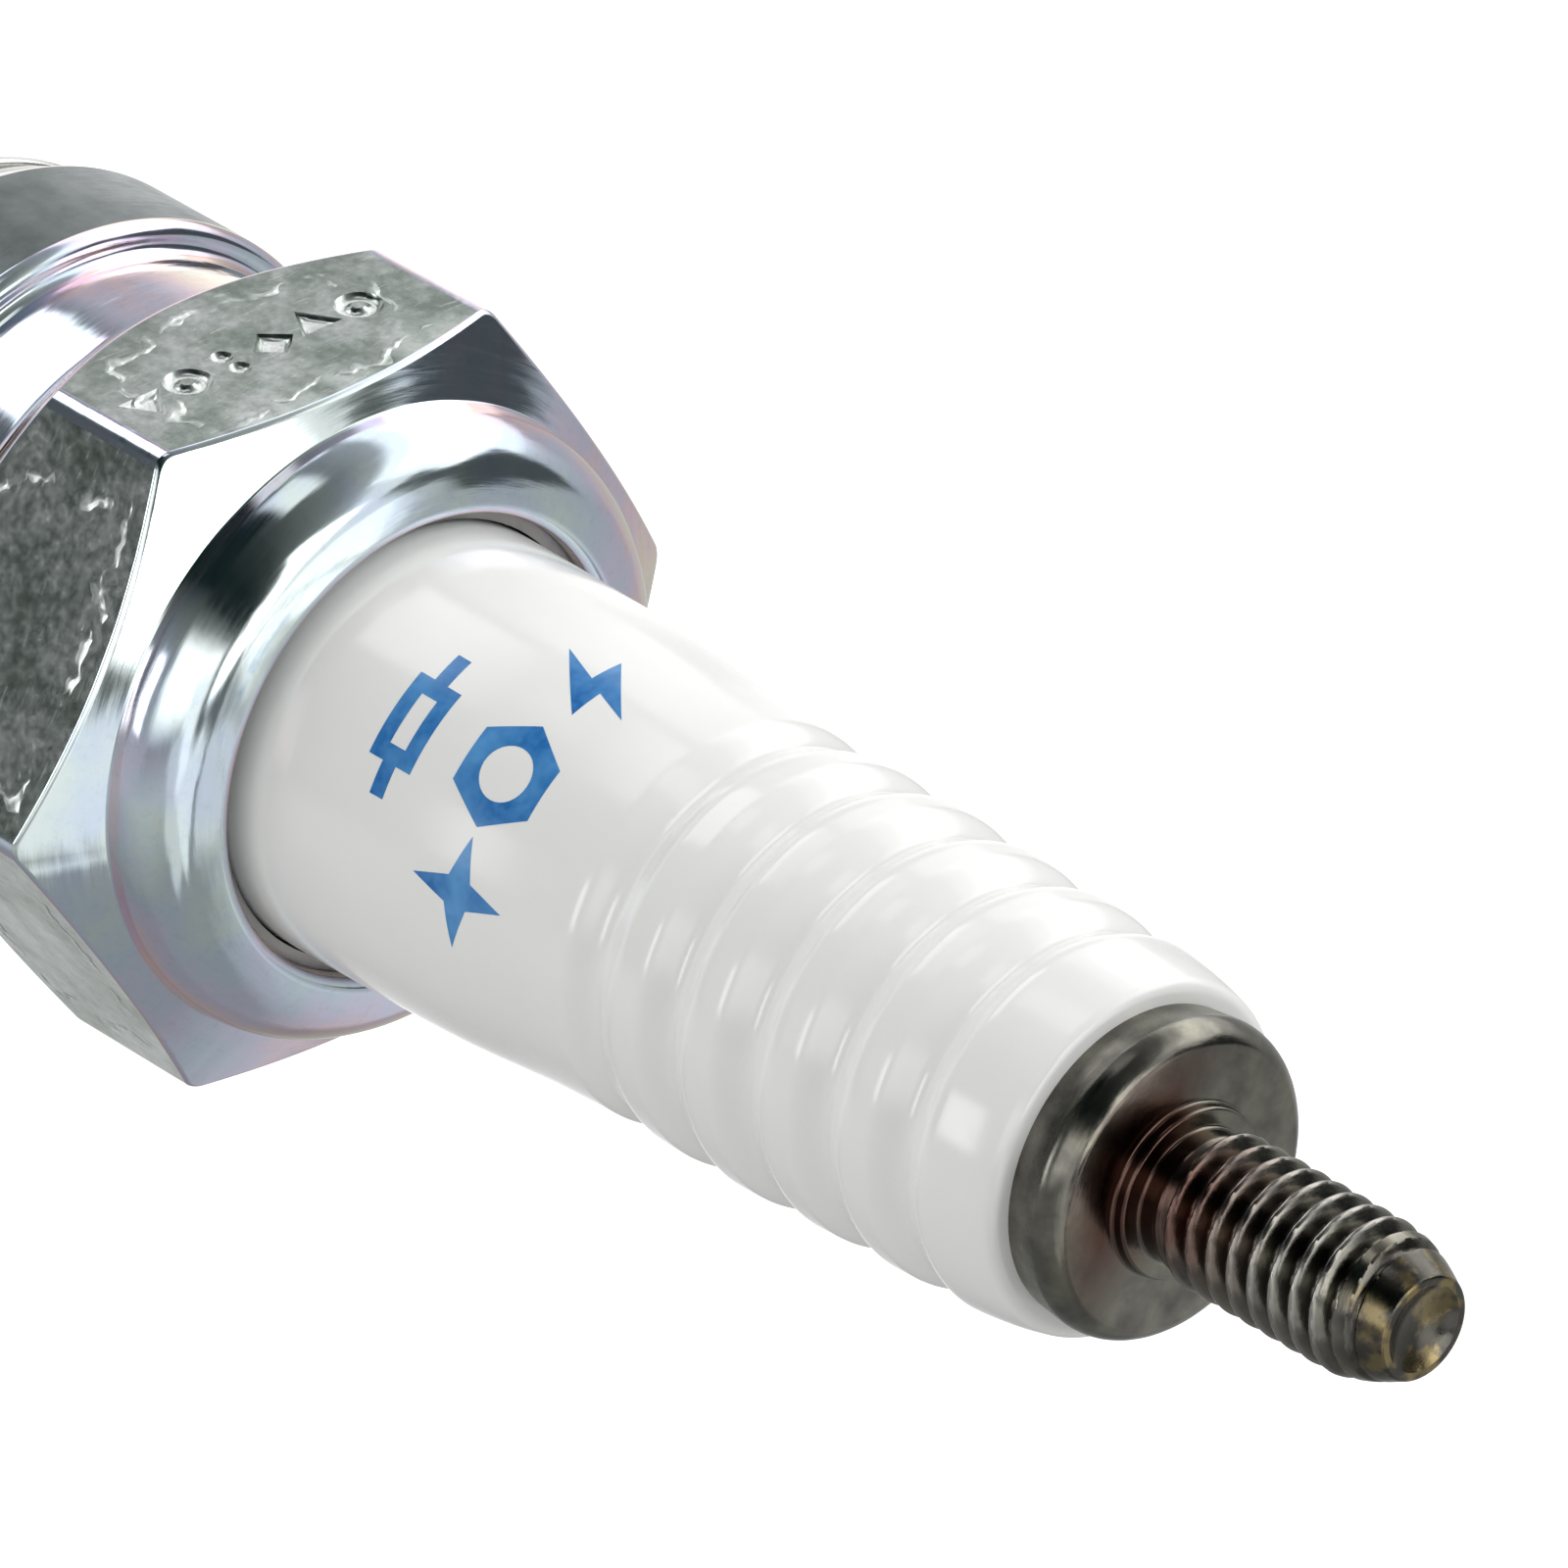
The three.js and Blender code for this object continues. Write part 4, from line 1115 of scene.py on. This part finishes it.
def build_strap():
    """The ground electrode: a strap with rounded edges, welded to the shell and bent under the gap."""
    half_width = STRAP_HIGH.y
    half_thick = STRAP_THICKNESS / 2
    bend_r = STRAP_BEND_R + half_thick
    middle_x = STRAP_HIGH.x - half_thick
    bend_x = middle_x - bend_r
    bend_z = half_thick + bend_r
    path = []
    for z in np.linspace(SHELL_END_Z, bend_z, 8)[:-1]:
        path.append((middle_x, z, 0.0))
    for angle in np.linspace(0, math.pi / 2, 24):
        path.append((bend_x + bend_r * math.cos(angle), bend_z - bend_r * math.sin(angle), angle))
    for x in np.linspace(bend_x, STRAP_LOW.x, 10)[1:]:
        path.append((x, half_thick, math.pi / 2))
    section = []
    for corner in range(4):
        across = (half_width - STRAP_ROUNDING) * (1 if corner in (0, 3) else -1)
        thick = (half_thick - STRAP_ROUNDING) * (1 if corner in (0, 1) else -1)
        for step in range(6):
            angle = math.pi / 2 * (corner + step / 5)
            out = STRAP_ROUNDING * math.sin(angle)
            section.append((thick + out, across + STRAP_ROUNDING * math.cos(angle)))
    rings = []
    for x, z, angle in path:
        flare = 1 + WELD_FLARE * math.exp(-((SHELL_END_Z - z) / WELD_HEIGHT) ** 2) if angle == 0 else 1.0
        rings.append((x, z, angle, flare))
    end_x, end_z, end_angle = path[-1]
    for shrink in (0.05, 0.16):
        rings.append((end_x - 0.0001 * shrink, end_z, end_angle, 1 - shrink))
    vertices = []
    for x, z, angle, scale in rings:
        for t, w in section:
            vertices.append((x + t * scale * math.cos(angle), w * scale, z - t * scale * math.sin(angle)))
    count = len(section)
    places = [range(i * count, (i + 1) * count) for i in range(len(rings))]
    faces = [face for low, high in zip(places, places[1:], strict=False) for face in band(low, high)]
    faces += [tuple(reversed(places[0])), tuple(places[-1])]
    piece = new_object("ground_strap", vertices, faces)
    finish_piece(piece, "plug", ["ground_electrode"], [nickel_alloy()])


def tube(inner_r, outer_r, low_z, high_z):
    return [(inner_r, low_z), (outer_r, low_z), (outer_r, high_z), (inner_r, high_z)]


def build_plain_pieces():
    """What is sealed inside, and the centre electrode, whose tip shows under the nose."""
    lip_low_z = UPPER_RING_HIGH.z - (UPPER_BORE_R - LIP_R) / 2
    plain = {
        "upper_ring": (["upper_packing_ring"], "packing_steel", plain_steel(), [
            (TRUNK_R + CLEARANCE, UPPER_RING_LOW.z),
            (UPPER_BORE_R, UPPER_RING_LOW.z),
            (UPPER_BORE_R, lip_low_z),
            (LIP_R, UPPER_RING_HIGH.z),
            (TRUNK_R + CLEARANCE, UPPER_RING_HIGH.z),
        ]),
        "lower_ring": (["lower_packing_ring"], "packing_steel", plain_steel(), [
            (TRUNK_R + CLEARANCE, LOWER_RING_LOW.z + (MID_BODY_R - TRUNK_R) / 2),
            (MID_BODY_R, LOWER_RING_LOW.z),
            (UPPER_BORE_R, LOWER_RING_LOW.z),
            (UPPER_BORE_R, LOWER_RING_HIGH.z),
            (TRUNK_R + CLEARANCE, LOWER_RING_HIGH.z),
        ]),
        "talc_ring": (["talc_packing"], "talc", powder("talc", grey(0.62), grey(0.8), 6),
                      tube(TRUNK_R, UPPER_BORE_R, TALC_LOW.z, TALC_HIGH.z)),
        "seat_washer": (["seat_packing"], "packing_steel", plain_steel(), [
            (LEDGE_R, SEAT_WASHER_LOW.z),
            (LOWER_TRUNK_R, SEAT_WASHER_HIGH.z - 0.3),
            (LOWER_TRUNK_R, SEAT_WASHER_HIGH.z),
            (LEDGE_R, SEAT_WASHER_LOW.z + 0.3),
        ]),
        "upper_seal": (["upper_glass_seal"], "conductive_glass", seal_glass(), [
            (0, UPPER_SEAL_LOW.z),
            (TERMINAL_BORE_R, UPPER_SEAL_LOW.z),
            (TERMINAL_BORE_R, UPPER_SEAL_HIGH.z),
            (SHANK_END_R, UPPER_SEAL_HIGH.z),
            (SHANK_END_R, STUD_LOW.z, 0.3),
            (0, STUD_LOW.z),
        ]),
        "resistor_body": (["resistor"], "resistor_carbon", powder("carbon", grey(0.01), grey(0.05), 9),
                          tube(0, TERMINAL_BORE_R, RESISTOR_LOW.z, RESISTOR_HIGH.z)),
        "lower_seal": (["lower_glass_seal"], "conductive_glass", seal_glass(), [
            (0, ELECTRODE_HIGH.z),
            (HEAD_R, ELECTRODE_HIGH.z),
            (HEAD_R, LOWER_SEAL_LOW.z),
            (TERMINAL_BORE_R, LOWER_SEAL_LOW.z),
            (TERMINAL_BORE_R, LOWER_SEAL_HIGH.z),
            (0, LOWER_SEAL_HIGH.z),
        ]),
        "electrode_sheath": (["centre_electrode"], "nickel_alloy", nickel_alloy(), [
            (0, ELECTRODE_LOW.z),
            (ELECTRODE_R, ELECTRODE_LOW.z, 0.15),
            (ELECTRODE_R, HEAD_Z),
            (HEAD_R, HEAD_Z, 0.1),
            (HEAD_R, ELECTRODE_HIGH.z, 0.1),
            (CORE_R, ELECTRODE_HIGH.z),
            (CORE_R, CORE_LOW.z),
            (0, CORE_LOW.z),
        ]),
        "electrode_core": (["centre_electrode_core"], "copper", copper(),
                           tube(0, CORE_R, CORE_LOW.z, CORE_HIGH.z)),
    }
    for name, (nodes, slot, finish, corners) in plain.items():
        piece = turned(name, outline(corners, 4), full_turn(96))
        finish_piece(piece, "plug", nodes, [finish])


# Stage: pale floor, soft light and the camera

CAMERA_AZIMUTH = math.radians(76.9)
CAMERA_ELEVATION = math.radians(40.34)
CAMERA_ROLL = math.radians(-119.66)
CAMERA_DISTANCE = 402.64
CAMERA_LENS = 389.6
CAMERA_AIM = Vector((3.944, 1.081, FLANGE_Z - 15))
SENSOR_WIDTH = 36

FLOOR_HALF_MM = 3000
FLOOR_GLOW = 0.24
FLOOR_GLOW_SEEN = 0.6


def direction(azimuth, elevation):
    return Vector((
        math.cos(azimuth) * math.cos(elevation),
        math.sin(azimuth) * math.cos(elevation),
        math.sin(elevation),
    ))


def add_camera():
    """The photograph's own angle, distance and lens."""
    camera = linked("camera", bpy.data.cameras.new("camera"))
    camera.data.lens = CAMERA_LENS
    camera.data.sensor_width = SENSOR_WIDTH
    camera.data.clip_start = 0.01
    camera.data.clip_end = 10
    back = direction(CAMERA_AZIMUTH, CAMERA_ELEVATION)
    level = back.to_track_quat("Z", "Y").to_matrix()
    turn = level @ Matrix.Rotation(-CAMERA_ROLL, 3, "Z")
    camera.matrix_world = Matrix.Translation((CAMERA_AIM + back * CAMERA_DISTANCE) * MM) @ turn.to_4x4()
    bpy.context.scene.camera = camera


def add_floor():
    """A white floor, seen from above only. Reflections look past it, at the studio."""
    corners = [(-1, -1, 0), (1, -1, 0), (1, 1, 0), (-1, 1, 0)]
    floor = new_object("floor", np.array(corners) * FLOOR_HALF_MM, [(0, 1, 2, 3)])
    s = Shader("floor_white")
    tint = s.mix(s.noise(0.02, 2), grey(0.92), grey(0.94))
    camera_ray = s.add("ShaderNodeLightPath").outputs["Is Camera Ray"]
    glow = s.stretch(camera_ray, 0.0, 1.0, FLOOR_GLOW, FLOOR_GLOW_SEEN)
    from_above = s.minus(1.0, s.add("ShaderNodeNewGeometry").outputs["Backfacing"])
    s.finish(Base_Color=tint, Roughness=0.9, Emission_Color=tint, Emission_Strength=glow, Alpha=from_above)
    floor.data.materials.append(s.material)
    floor.visible_glossy = False


# The studio's walls above the horizon and below it, and its table, as (azimuth in degrees, brightness)
STUDIO_ABOVE = [
    (0, 0.40), (15, 0.20), (46, 0.035), (60, 0.006), (70, 0.012), (78, 0.22), (87, 1.5), (106, 1.5),
    (118, 0.30), (136, 0.52), (165, 0.30), (215, 0.30), (242, 0.66), (272, 0.46), (286, 0.42), (304, 0.55),
    (314, 0.9), (350, 0.9), (357, 0.5),
]
STUDIO_BELOW = [
    (0, 0.40), (14, 0.23), (40, 0.012), (66, 0.006), (90, 0.28), (135, 0.50), (168, 0.27), (228, 0.27),
    (255, 0.55), (308, 0.45), (318, 0.9), (350, 0.9), (358, 0.40),
]
STUDIO_TABLE = [
    (0, 0.25), (45, 0.18), (60, 0.10), (104, 0.10), (118, 0.45), (138, 0.60), (165, 0.30), (208, 0.28),
    (238, 0.80), (250, 1.2), (300, 1.2), (330, 0.50), (350, 0.46), (360, 0.25),
]
STUDIO_UNDER = 0.85
# The elevations, in degrees, over which one zone of the studio gives way to the next
BELOW_BLEND = (2, -6)
TABLE_BLEND = (-35, -41)
UNDER_BLEND = (-58, -68)
DARK_TINT = (0.0, 0.008, 0.009, 1)
# Panels as (from azimuth, to azimuth, from elevation, to elevation, brightness), each over the ones before
PANELS = [
    (140, 225, 74, 110, 0.12),
    (96, 154, 46, 66, 1.15),
    (148, 194, 51, 76, 0.95),
    (118, 180, 38, 52, 0.70),
    (66, 142, 67, 76, 0.12),
    (205, 235, 58, 75, 0.75),
    (311, 357, -39, 44, 1.3),
    (321, 347, -31, 36, 2.3),
    (290, 320, 20, 50, 0.07),
    (308, 332, 44, 57, 0.10),
    (92, 116, -31, -18, 3.4),
    (80, 124, -60, -37, 0.10),
    (3, 47, -54, -37, 2.0),
    (20, 36, -31, 6, 1.0),
    (-20, 32, 58, 110, 2.5),
    (30, 130, 74, 110, 2.5),
    (235, 312, 58, 110, 1.4),
]
PANEL_EDGE = 4.0
# What matt surfaces are lit by, from all round
MATT_LIGHT = 0.60


def add_world():
    """A studio that shows in reflections, and an even white light for everything matt."""
    world = bpy.data.worlds.new("studio")
    bpy.context.scene.world = world
    world.use_nodes = True
    s = Shader.for_world(world)
    direction = s.add("ShaderNodeTexCoord").outputs["Generated"]
    x, y, z = s.add("ShaderNodeSeparateXYZ", {"Vector": direction}).outputs
    degrees = 180 / math.pi
    azimuth = s.times(s.math("ARCTAN2", y, x), degrees)
    azimuth = s.math("WRAP", azimuth, 360.0, 0.0)
    elevation = s.times(s.math("ARCSINE", z), degrees)
    share = s.math("DIVIDE", azimuth, 360.0)
    above, below, table = (
        s.ramp(share, [(angle / 360, grey(level)) for angle, level in stops])
        for stops in (STUDIO_ABOVE, STUDIO_BELOW, STUDIO_TABLE)
    )
    studio = s.mix(s.stretch(elevation, *BELOW_BLEND), above, below)
    studio = s.mix(s.stretch(elevation, *TABLE_BLEND), studio, table)
    studio = s.mix(s.stretch(elevation, *UNDER_BLEND), studio, grey(STUDIO_UNDER))
    for *place, level in PANELS:
        studio = s.mix(panel_mask(s, azimuth, elevation, place), studio, grey(level))
    studio = s.mix(1.0, studio, DARK_TINT, "ADD")
    ray = s.add("ShaderNodeLightPath").outputs
    light = s.mix(ray["Is Glossy Ray"], grey(MATT_LIGHT), studio)
    background = s.add("ShaderNodeBackground", {"Color": light})
    output = s.add("ShaderNodeOutputWorld")
    s.tree.links.new(background.outputs[0], output.inputs["Surface"])


def panel_mask(s, azimuth, elevation, place):
    """1 inside a panel and 0 outside, with soft edges."""
    low_azimuth, high_azimuth, low, high = place
    middle = (low_azimuth + high_azimuth) / 2
    half = (high_azimuth - low_azimuth) / 2
    around = s.math("WRAP", s.minus(azimuth, middle), 180.0, -180.0)
    across = s.stretch(s.math("ABSOLUTE", around), half + PANEL_EDGE / 2, half - PANEL_EDGE / 2)
    off_middle = s.math("ABSOLUTE", s.minus(elevation, (low + high) / 2))
    tall = (high - low) / 2
    along = s.stretch(off_middle, tall + PANEL_EDGE / 2, tall - PANEL_EDGE / 2)
    return s.times(across, along)


def add_softbox(name, azimuth, elevation, distance_mm, size_mm, power):
    """A rectangular area light that looks at the plug and doesn't show in reflections."""
    light = bpy.data.lights.new(name, "AREA")
    light.shape = "RECTANGLE"
    light.size, light.size_y = size_mm[0] * MM, size_mm[1] * MM
    light.energy = power
    holder = linked(name, light)
    out = direction(math.radians(azimuth), math.radians(elevation))
    holder.location = (Vector((0, 0, FLANGE_Z * 0.6)) + out * distance_mm) * MM
    holder.rotation_mode = "QUATERNION"
    holder.rotation_quaternion = out.to_track_quat("Z", "Y")
    holder.visible_glossy = False


build_stud()
build_insulator()
build_print()
build_shell()
build_gasket()
build_strap()
build_plain_pieces()
add_floor()
add_world()
add_softbox("key", azimuth=348, elevation=35, distance_mm=500, size_mm=(300, 300), power=1.05)
add_camera()
bpy.context.scene.view_settings.view_transform = "Standard"
